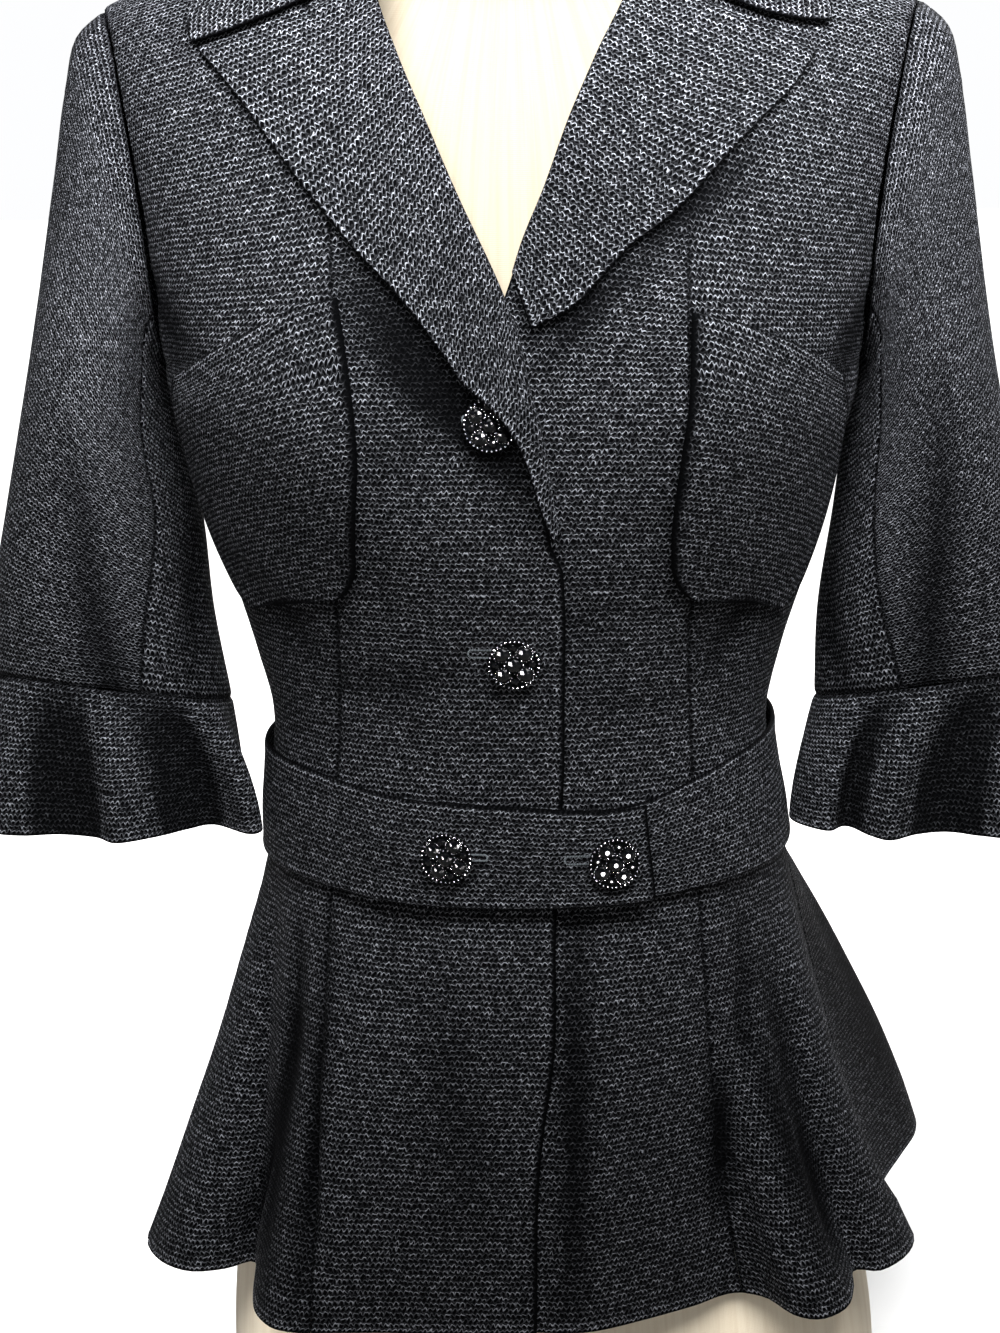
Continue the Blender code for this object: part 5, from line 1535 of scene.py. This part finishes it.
# %% Form
FORM_RINGS = (
    # height, half width, front depth, back depth, squareness, middle across, middle back
    (0.000, 0.1648, 0.1020, 0.1010, 2.2, 0.0160, 0.000),
    (0.070, 0.1640, 0.1040, 0.1040, 2.2, 0.0150, 0.000),
    (0.130, 0.1560, 0.1030, 0.1040, 2.2, 0.0125, 0.000),
    (0.190, 0.1450, 0.1000, 0.1000, 2.2, 0.0100, 0.000),
    (0.250, 0.1310, 0.0950, 0.0930, 2.2, 0.0075, 0.000),
    (0.310, 0.1180, 0.0905, 0.0860, 2.2, 0.0042, 0.000),
    (0.350, 0.1145, 0.0880, 0.0825, 2.2, 0.0025, 0.000),
    (0.385, 0.1128, 0.0865, 0.0800, 2.2, 0.0015, 0.000),
    (0.430, 0.1210, 0.0900, 0.0830, 2.25, 0.0014, 0.000),
    (0.480, 0.1370, 0.0990, 0.0895, 2.4, 0.0010, 0.000), (0.530, 0.1480, 0.1060, 0.0940, 2.4, 0.0, 0.000),
    (0.580, 0.1510, 0.1040, 0.0970, 2.5, 0.0, 0.000), (0.630, 0.1570, 0.0920, 0.0920, 2.6, 0.0, 0.002),
    (0.670, 0.1640, 0.0770, 0.0790, 2.6, 0.0, 0.004), (0.700, 0.1620, 0.0620, 0.0640, 2.4, 0.0, 0.006),
    (0.720, 0.1280, 0.0520, 0.0520, 2.2, 0.0, 0.008), (0.738, 0.0870, 0.0470, 0.0450, 2.0, 0.0, 0.008),
    (0.755, 0.0660, 0.0460, 0.0430, 2.0, 0.0, 0.008), (0.775, 0.0570, 0.0460, 0.0425, 2.0, 0.0, 0.006),
    (0.835, 0.0535, 0.0460, 0.0430, 2.0, 0.0, 0.002),
)
FORM_SEAMS = (-180, -132, -90, -42, 0, 42, 90, 132, 180)
FORM_SEAM_DIP = 0.0007
FORM_SEAM_WIDE = 0.9
FORM_RADIUS = 0.13
FORM_FOOT = (0.0, 0.0005, 0.0012, 0.0022)
form_ring = table(FORM_RINGS)


def form_point(angle, height):
    half, front, back, square, across, rear = np.moveaxis(form_ring(height), -1, 0)
    x, y = oval(angle, half, front, back, square)
    return np.stack([x + across, y + rear, height + 0 * x], axis=-1)


def add_form():
    angle = np.linspace(-180, 180, 181)
    heights = np.concatenate([FORM_FOOT, np.linspace(0.004, FORM_RINGS[-1][0], 150)])
    grid = np.stack([form_point(angle, np.full(len(angle), h)) for h in heights])
    normal = grid_normals(grid)
    normal[:, 0] = normal[:, -1] = (normal[:, 0] + normal[:, -1]) / 2
    groove = np.zeros(grid.shape[:2])
    for seam in FORM_SEAMS:
        groove += FORM_SEAM_DIP * np.exp(-(((angle - seam) / FORM_SEAM_WIDE) ** 2))[None, :]
    grid = grid - normal * groove[..., None]
    girth = np.radians(angle)[None, :] * FORM_RADIUS + 0 * grid[..., 0]
    uv = np.stack([girth, grid[..., 2]], axis=-1).reshape(-1, 2)
    rows, columns = grid.shape[:2]
    index = np.arange(rows * columns).reshape(rows, columns)
    corners = (index[:-1, :-1], index[:-1, 1:], index[1:, 1:], index[1:, :-1])
    faces = [tuple(face) for face in np.stack(corners, -1).reshape(-1, 4)]
    points = list(grid.reshape(-1, 3))
    for line, way in ((index[0], -1), (index[-1], 1)):
        middle = grid.reshape(-1, 3)[line].mean(axis=0)
        points.append(middle)
        uv = np.concatenate([uv, [uv[line].mean(axis=0)]])
        for a, b in zip(line[:-1], line[1:]):
            faces.append((a, b, len(points) - 1)[::way])
    return mesh_object("form_linen", points, faces, uv, linen_cloth)


form = add_form()
print("form faces:", len(form.data.polygons))

# %% [markdown]
# ## Repeats by Geometry Nodes
#
# Stitches repeat along a line and beads round a ring, so small node trees make them. A tree sets points along
# its line, puts a stitch or a bead on each, turns the stitches along the line and makes all of it real. The
# sizes are named inputs. A modifier's inputs are set by the socket's identifier. The result is turned into a
# plain mesh.

# %% Node trees for stitches and beads
def new_tree(name, inputs):
    tree = bpy.data.node_groups.new(name, "GeometryNodeTree")
    tree.interface.new_socket("Geometry", in_out="INPUT", socket_type="NodeSocketGeometry")
    for label, kind, value in inputs:
        socket = tree.interface.new_socket(label, in_out="INPUT", socket_type=kind)
        socket.default_value = value
    tree.interface.new_socket("Geometry", in_out="OUTPUT", socket_type="NodeSocketGeometry")
    return tree


def geometry_node(tree, kind, settings=None, sockets=None):
    made = tree.nodes.new(kind)
    for key, value in (settings or {}).items():
        setattr(made, key, value)
    for key, value in (sockets or {}).items():
        target = made.inputs[key]
        if isinstance(value, bpy.types.NodeSocket):
            tree.links.new(value, target)
        else:
            target.default_value = value
    return made


def finish_tree(tree, placed, finish):
    """The last steps of a tree: make the instances real, shade them smooth and give them a finish."""
    add = functools.partial(geometry_node, tree)
    real = add("GeometryNodeRealizeInstances", None, {"Geometry": placed.outputs[0]})
    soft = add("GeometryNodeSetShadeSmooth", None, {"Geometry": real.outputs[0]})
    done = add("GeometryNodeSetMaterial", None, {"Geometry": soft.outputs[0], "Material": finish})
    add("NodeGroupOutput", None, {"Geometry": done.outputs[0]})
    return tree


def stitch_tree():
    """Thread stitches across a path."""
    inputs = (
        ("Count", "NodeSocketInt", 60),
        ("Stitch length", "NodeSocketFloat", 0.0018),
        ("Thread width", "NodeSocketFloat", 0.0005),
        ("Unevenness", "NodeSocketFloat", 0.2),
        ("Seed", "NodeSocketInt", 3),
    )
    tree = new_tree("stitches_along_path", inputs)
    add = functools.partial(geometry_node, tree)
    given = add("NodeGroupInput").outputs
    path = add("GeometryNodeMeshToCurve", None, {"Mesh": given["Geometry"]}).outputs[0]
    spots = {"Curve": path, "Count": given["Count"]}
    points = add("GeometryNodeCurveToPoints", {"mode": "COUNT"}, spots).outputs
    turn = add("FunctionNodeAlignRotationToVector", {"axis": "X"}, {"Vector": points["Tangent"]})
    chance = add("FunctionNodeRandomValue", {"data_type": "FLOAT"})
    tree.links.new(given["Seed"], chance.inputs["Seed"])
    spread = add("ShaderNodeMath", {"operation": "MULTIPLY"}, {0: given["Unevenness"], 1: chance.outputs[1]})
    grown = add("ShaderNodeMath", {"operation": "ADD"}, {0: spread.outputs[0], 1: 1.0})
    reach = add("ShaderNodeMath", {"operation": "MULTIPLY"}, {0: grown.outputs[0], 1: given["Stitch length"]})
    sides = {"X": given["Thread width"], "Y": reach.outputs[0], "Z": given["Thread width"]}
    size = add("ShaderNodeCombineXYZ", None, sides).outputs[0]
    ball = add("GeometryNodeMeshUVSphere", None, {"Segments": 8, "Rings": 6, "Radius": 0.5}).outputs["Mesh"]
    laid = {"Points": points["Points"], "Instance": ball, "Rotation": turn.outputs[0], "Scale": size}
    placed = add("GeometryNodeInstanceOnPoints", None, laid)
    return finish_tree(tree, placed, silk)


def bead_tree():
    """Beads round a circle."""
    inputs = (
        ("Count", "NodeSocketInt", 30),
        ("Ring radius", "NodeSocketFloat", 0.0114),
        ("Bead radius", "NodeSocketFloat", 0.0007),
    )
    tree = new_tree("beads_round_ring", inputs)
    add = functools.partial(geometry_node, tree)
    given = add("NodeGroupInput").outputs
    round_path = {"Vertices": given["Count"], "Radius": given["Ring radius"]}
    circle = add("GeometryNodeMeshCircle", None, round_path).outputs[0]
    bead = {"Radius": given["Bead radius"], "Subdivisions": 2}
    ball = add("GeometryNodeMeshIcoSphere", None, bead).outputs["Mesh"]
    placed = add("GeometryNodeInstanceOnPoints", None, {"Points": circle, "Instance": ball})
    return finish_tree(tree, placed, rims)


def run_tree(tree, path, values):
    """Points and faces that a tree makes from a path of points, with its inputs set by identifier."""
    mesh = bpy.data.meshes.new("path")
    edges = [(i, i + 1) for i in range(len(path) - 1)]
    mesh.from_pydata([tuple(map(float, p)) for p in path], edges, [])
    carrier = bpy.data.objects.new("path", mesh)
    bpy.context.scene.collection.objects.link(carrier)
    modifier = carrier.modifiers.new("nodes", "NODES")
    modifier.node_group = tree
    for item in tree.interface.items_tree:
        if item.in_out == "INPUT" and item.name in values:
            modifier[item.identifier] = values[item.name]
    bpy.context.view_layer.update()
    made = bpy.data.meshes.new_from_object(carrier.evaluated_get(bpy.context.evaluated_depsgraph_get()))
    points = np.array([tuple(v.co) for v in made.vertices])
    faces = [tuple(p.vertices) for p in made.polygons]
    carrier.modifiers.remove(modifier)
    bpy.data.objects.remove(carrier)
    bpy.data.meshes.remove(made)
    return points, faces


stitches, beads = stitch_tree(), bead_tree()
print("trees:", stitches.name, beads.name)

# %% [markdown]
# ## Buttons
#
# Each button is a dark metal setting, 24 mm across. Four large cut stones sit on its diagonals round a raised
# middle stone, with small stones between them. Rows of beads run round the rim, round the middle stone and
# round each large stone. A cut stone is a girdle, two rings of slanting facets and a small flat table, shaded
# flat so that each facet catches the light alone.

# %% Button parts
BUTTON_SETTING = (
    # radius, height
    (0.0, 0.0), (0.0046, 0.0), (0.0050, 0.0004), (0.0050, 0.0013), (0.0100, 0.0014), (0.0113, 0.0018),
    (0.0119, 0.0025), (0.0117, 0.0031), (0.0108, 0.0033), (0.0102, 0.0029), (0.0060, 0.0026),
    (0.0044, 0.0030), (0.0040, 0.0036), (0.0034, 0.0036), (0.0, 0.0034),
)
BUTTON_STONES = (
    # how many, first angle, ring radius, stone radius, base height, table height, sides
    (4, 45.0, 0.0070, 0.0033, 0.0026, 0.0051, 8),
    (4, 0.0, 0.0082, 0.0017, 0.0026, 0.0042, 6),
    (1, 0.0, 0.0, 0.0033, 0.0035, 0.0060, 8),
)
BUTTON_BEADS = (
    # how many rings, their distance from the middle, height, beads in a ring, ring radius, bead radius
    (1, 0.0, 0.0032, 34, 0.0112, 0.00062),
    (1, 0.0, 0.0037, 12, 0.0041, 0.00048),
    (4, 0.0070, 0.0032, 18, 0.0037, 0.00034),
)
STONE_KIND, SETTING_KIND, BEAD_KIND = 0, 1, 2
GIRDLE_TOP = 0.38
FACETS = (0.72, 0.21)
TABLE_SHARE = 0.30


def lathe(profile, steps):
    """Points and faces of a profile of radius and height turned round Z, starting and ending on the axis."""
    turn = np.arange(steps) * 2 * math.pi / steps
    points = [(0.0, 0.0, profile[0][1])]
    for radius, up in profile[1:-1]:
        points += [(radius * math.cos(a), radius * math.sin(a), up) for a in turn]
    points.append((0.0, 0.0, profile[-1][1]))
    faces = []
    rings = len(profile) - 2
    for i in range(steps):
        j = (i + 1) % steps
        faces.append((0, 1 + j, 1 + i))
        for r in range(rings - 1):
            low = 1 + r * steps
            faces.append((low + i, low + j, low + steps + j, low + steps + i))
        top = 1 + (rings - 1) * steps
        faces.append((top + i, top + j, len(points) - 1))
    return np.array(points), faces


def cut_stone(x, y, radius, base, table_up, sides):
    """A faceted stone: a girdle, two rows of slanting facets and a small flat table."""
    crown = table_up - GIRDLE_TOP * radius
    rows = (
        (radius, base, 0.0),
        (radius, crown, 0.0),
        (radius * FACETS[0], crown + FACETS[1] * radius, 0.5),
        (radius * TABLE_SHARE, table_up, 0.0),
    )
    points, faces = [], []
    for reach, up, shift in rows:
        for i in range(sides):
            a = 2 * math.pi * (i + shift) / sides
            points.append((x + reach * math.cos(a), y + reach * math.sin(a), up))
    for i in range(sides):
        j = (i + 1) % sides
        faces.append((i, j, sides + j, sides + i))
        faces.append((sides + i, sides + j, 2 * sides + i))
        faces.append((sides + j, 2 * sides + j, 2 * sides + i))
        faces.append((2 * sides + i, 2 * sides + j, 3 * sides + j))
        faces.append((2 * sides + i, 3 * sides + j, 3 * sides + i))
    faces.append(tuple(range(3 * sides, 4 * sides)))
    faces.append(tuple(range(sides))[::-1])
    return np.array(points), faces


def round_middle(count, first, away):
    """Places at equal steps round a button's middle."""
    turns = [math.radians(first + 360 * i / count) for i in range(count)]
    return [(away * math.cos(a), away * math.sin(a)) for a in turns]


def button_parts():
    """Points, faces, kind of finish and smoothness of each part of a button that lies flat."""
    parts = [(*lathe(BUTTON_SETTING, 56), SETTING_KIND, True)]
    for count, first, away, radius, base, up, sides in BUTTON_STONES:
        for x, y in round_middle(count, first, away):
            parts.append((*cut_stone(x, y, radius, base, up, sides), STONE_KIND, False))
    for count, away, up, number, ring_radius, bead_radius in BUTTON_BEADS:
        values = {"Count": number, "Ring radius": ring_radius, "Bead radius": bead_radius}
        points, faces = run_tree(beads, [(0, 0, 0)], values)
        for x, y in round_middle(count, 45.0, away):
            parts.append((points + (x, y, up), faces, BEAD_KIND, True))
    return parts


def button(name, seat, normal, turn):
    """A whole button as one mesh, on its seat."""
    side = np.cross((0.0, 0.0, 1.0), normal)
    side /= np.linalg.norm(side)
    up = np.cross(normal, side)
    c, s = math.cos(math.radians(turn)), math.sin(math.radians(turn))
    basis = np.array((side * c + up * s, up * c - side * s, normal))
    all_points, all_faces, kinds, smooth, start = [], [], [], [], 0
    for points, faces, kind, soft in button_parts():
        all_points.append(points @ basis + seat)
        all_faces += [tuple(i + start for i in f) for f in faces]
        kinds += [kind] * len(faces)
        smooth += [soft] * len(faces)
        start += len(points)
    made = mesh_object(name, np.concatenate(all_points), all_faces, None, stone, smooth=False)
    for finish in (metal, rims):
        made.data.materials.append(finish)
    made.data.polygons.foreach_set("material_index", kinds)
    made.data.polygons.foreach_set("use_smooth", smooth)
    return made


print("stones in a button:", sum(row[0] for row in BUTTON_STONES))

# %% Buttons in place
TAB_TOP = TAB_BAND_LIFT + BELT_THICK
SHANK = 0.0004
BUTTON_SEATS = (
    # name, point, direction, lift, turn
    ("button_front_top", body_point(-3.6, 0.5378), outward(-3.6, 0.5378), OVERLAP, 8.0),
    ("button_front_middle", body_point(0.2, 0.4300), outward(0.2, 0.4300), OVERLAP, 3.0),
    ("button_belt_right", belt_point(-18.0, 0.340, 0.0), outward(-18.0, 0.36) * (1, 1, 0), TAB_TOP, 14.0),
    ("button_belt_left", belt_point(23.5, 0.337, 0.0), outward(23.5, 0.36) * (1, 1, 0), TAB_TOP, -12.0),
)
for name, point, way, lift, turn in BUTTON_SEATS:
    way = way / np.linalg.norm(way)
    pieces[name] = button(name + "_jewel", point + way * (lift + SEAM_GAP + SHANK), way, turn)
print("button faces:", len(pieces["button_front_middle"].data.polygons))

# %% [markdown]
# ## Buttonholes
#
# A worked buttonhole is a slit between two ridges of close silk stitches, joined round its far end. The near
# end lies under the button. The stitches are made flat and then laid on the cloth's own surface, so they
# follow its curve.

# %% Buttonholes
def slot_path(start, end, half):
    """The line round a slit, in flat metres: along one side, round its far end and back."""
    turn = np.linspace(math.pi / 2, 3 * math.pi / 2, 7)
    round_end = [(start + half + half * math.cos(a), half * math.sin(a), 0.0) for a in turn]
    return [(end, half, 0.0), *round_end, (end, -half, 0.0)]


def laid_stitches(name, path, values, where):
    points, faces = run_tree(stitches, path, values)
    laid = where(points[:, 0], points[:, 1], points[:, 2])
    return mesh_object(name, laid, faces, None, silk)


def on_front(angle, height, lift):
    return lambda x, y, z: body(angle + x * DEGREES_PER_METRE, height + y, lift + z)


BELT_STRETCH = 1.05
PROBE = 0.001


def on_belt(angle, height, lift):
    def laid(x, y, z):
        place = angle + x * DEGREES_PER_METRE * BELT_STRETCH
        base = belt_point(place, height + y, lift)
        way = base - belt_point(place, height + y, lift - PROBE)
        return base + way / PROBE * z[:, None]

    return laid


WORKED = {"Count": 76, "Stitch length": 0.0010, "Thread width": 0.00050}
ON_FRONT_LIFT = OVERLAP + 0.0001
ON_BELT_LIFT = TAB_TOP + 0.0004
BUTTONHOLES = (
    # name, surface, which way the far end points, length past the button's middle, half width
    ("buttonhole_middle", on_front(0.2, 0.4338, ON_FRONT_LIFT), 1, 0.0245, 0.00180),
    ("buttonhole_top", on_front(-3.6, 0.5400, ON_FRONT_LIFT), 1, 0.0125, 0.00180),
    ("buttonhole_belt_left", on_belt(23.5, 0.3385, ON_BELT_LIFT), 1, 0.0235, 0.00180),
    ("buttonhole_belt_right", on_belt(-18.0, 0.3400, ON_BELT_LIFT), -1, 0.0200, 0.00135),
)
UNDER_BUTTON = 0.004
holes = {}
for name, where, way, length, half in BUTTONHOLES:
    path = [(x * way, y, z) for x, y, z in slot_path(-length, UNDER_BUTTON, half)]
    holes[name] = laid_stitches(name, path, WORKED, where)
print("buttonholes:", list(holes))

# %% [markdown]
# ## The cap on the neck
#
# A turned cap of dark wood closes the neck of the form. It has a bead at its rim and a low dome.

# %% Neck cap
CAP_PROFILE = (
    # radius, height
    (0.0, 0.0), (0.0455, 0.0), (0.0472, 0.0006), (0.0480, 0.0020), (0.0480, 0.0034), (0.0470, 0.0046),
    (0.0452, 0.0052), (0.0444, 0.0060), (0.0440, 0.0078), (0.0420, 0.0094), (0.0360, 0.0112),
    (0.0240, 0.0130), (0.0110, 0.0139), (0.0, 0.0140),
)
points, faces = lathe(CAP_PROFILE, 96)
low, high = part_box("neck_cap")
centre = np.array(((low.x + high.x) / 2, (low.y + high.y) / 2, low.z))
pieces["neck_cap"] = mesh_object("neck_cap_turned", points + centre, faces, None, wood)
pieces["dress_form"] = form
print("cap at", np.round(centre, 3))

# %% [markdown]
# ## Floor and light
#
# The picture shows the jacket before plain white. A wide, flat, pale floor and a bright band of sky at the
# horizon give that from all sides. Black cloth shows each stray light as a grey veil, so most lamps are
# linked to what they are for. A wide sun lights the floor and the form alone. A soft light from above and in
# front lights all but the form, so shoulders, lapels and the tops of the sleeves are paler and the folds
# under the belt stay deep. Six small lights serve only the buttons, whose stones and beads mirror them.

# %% Floor, lights and world
FLOOR_HALF = 30.0
WORLD_LIGHT = 0.06
WORLD_COLOUR = (0.985, 0.99, 1.0, 1.0)
HORIZON_BAND = (0.12, 0.24)
SUN_WAY = (0.30, 1.0, -1.80)
SUN_POWER = 6.3
SUN_ANGLE = 38
TOP_LIGHT_SPREAD = 118
LIGHTS = (
    # name, place, aim, size, power, colour
    ("top_light", (0.14, -0.46, 1.13), (0.0, 0.20, 0.90), (0.9, 0.35), 26.0, (0.92, 0.955, 1.0)),
    ("back_light", (0.50, 1.70, 1.70), (0.0, 0.0, 0.45), (1.2, 1.0), 45.0, (1.0, 1.0, 1.0)),
)
SPARKS = (
    # place of each small light that only the buttons catch
    (-0.31, -0.62, 1.10), (0.40, -0.64, 1.03), (-0.62, -0.78, 0.46), (0.60, -0.79, 0.41), (0.31, -0.88, 0.12),
    (0.02, -0.20, 1.30),
)
SPARK_AIM = (0.0, -0.12, 0.42)
SPARK_SIZE = (0.22, 0.22)
SPARK_POWER = 110.0


def pale_floor():
    made = Shader("pale_floor")
    cloudy = made.noise(made.place(), 3.0, 2.0)
    made.set(Base_Color=made.mix(cloudy, (0.93, 0.93, 0.93, 1.0), (0.90, 0.90, 0.90, 1.0)), Roughness=0.9)
    return made.material


def add_floor():
    """A flat floor that sends no light up into the black cloth."""
    corners = [(x * FLOOR_HALF, y * FLOOR_HALF, 0.0) for x, y in ((-1, -1), (1, -1), (1, 1), (-1, 1))]
    made = mesh_object("floor", corners, [(0, 1, 2, 3)], None, pale_floor())
    made.visible_diffuse = False
    return made


def area_light(name, place, aim, size, power, colour=(1.0, 1.0, 1.0)):
    data = bpy.data.lights.new(name, "AREA")
    data.shape = "RECTANGLE"
    data.size, data.size_y = size
    data.energy = power
    data.color = colour
    made = bpy.data.objects.new(name, data)
    bpy.context.scene.collection.objects.link(made)
    made.location = place
    made.visible_camera = False
    made.rotation_euler = (Vector(aim) - Vector(place)).to_track_quat("-Z", "Y").to_euler()
    return made


def add_world():
    """Dim light from all round, and white where a camera looks past the floor at the horizon."""
    world = bpy.data.worlds.new("studio")
    world.use_nodes = True
    sky = Shader.of_tree(world.node_tree)
    way = sky.node("ShaderNodeTexCoord")["Generated"]
    rise = sky.node("ShaderNodeSeparateXYZ", None, {0: way})["Z"]
    background = world.node_tree.nodes["Background"]
    background.inputs["Color"].default_value = WORLD_COLOUR
    strength = 1.0 - rise.size().soft(*HORIZON_BAND) * (1.0 - WORLD_LIGHT)
    sky.feed(background.inputs["Strength"], strength)
    bpy.context.scene.world = world
    bpy.context.scene.view_settings.view_transform = "Standard"


def add_sun():
    data = bpy.data.lights.new("wide_sun", "SUN")
    data.energy = SUN_POWER
    data.angle = math.radians(SUN_ANGLE)
    made = bpy.data.objects.new("wide_sun", data)
    bpy.context.scene.collection.objects.link(made)
    made.rotation_euler = Vector(SUN_WAY).to_track_quat("-Z", "Y").to_euler()
    return made


floor = add_floor()
add_world()
sun = add_sun()
lamps = {row[0]: area_light(*row) for row in LIGHTS}
lamps["top_light"].data.spread = math.radians(TOP_LIGHT_SPREAD)
sparks = []
for k, place in enumerate(SPARKS):
    sparks.append(area_light(f"spark_{k}", place, SPARK_AIM, SPARK_SIZE, SPARK_POWER))
print("lights:", list(lamps), "and", len(sparks), "sparks")

# %% [markdown]
# ## Pieces on the body
#
# Every piece rides on the one body of the part. All but the buttonholes replace their plain solid, which is
# hidden. The width, length and area of each cloth piece's flat cut are looked up, but nothing uses them.
# Last, each lamp is given the objects that it may light.

for node, piece in pieces.items():
    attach(piece, "root")
    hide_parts(node)
    if piece.name in shells:
        wide, tall, area = shells[piece.name]
        area = min(area, wide * tall)
for piece in holes.values():
    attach(piece, "root")
print("declared:", len(pieces) + len(holes))

# %% What each light reaches
def light_only(lights, name, receivers):
    """These lights reach the given objects alone."""
    lit = bpy.data.collections.new(name)
    for piece in receivers:
        lit.objects.link(piece)
    for lamp in lights:
        lamp.light_linking.receiver_collection = lit


jacket = [piece for piece in pieces.values() if piece is not form] + list(holes.values())
light_only([lamps["top_light"]], "lit_from_above", jacket)
light_only(sparks, "lit_by_sparks", [piece for node, piece in pieces.items() if node.startswith("button")])
light_only([sun], "lit_by_sun", [floor, form])
for lamp in sparks:
    lamp.visible_diffuse = False
print("lit from above:", len(jacket))
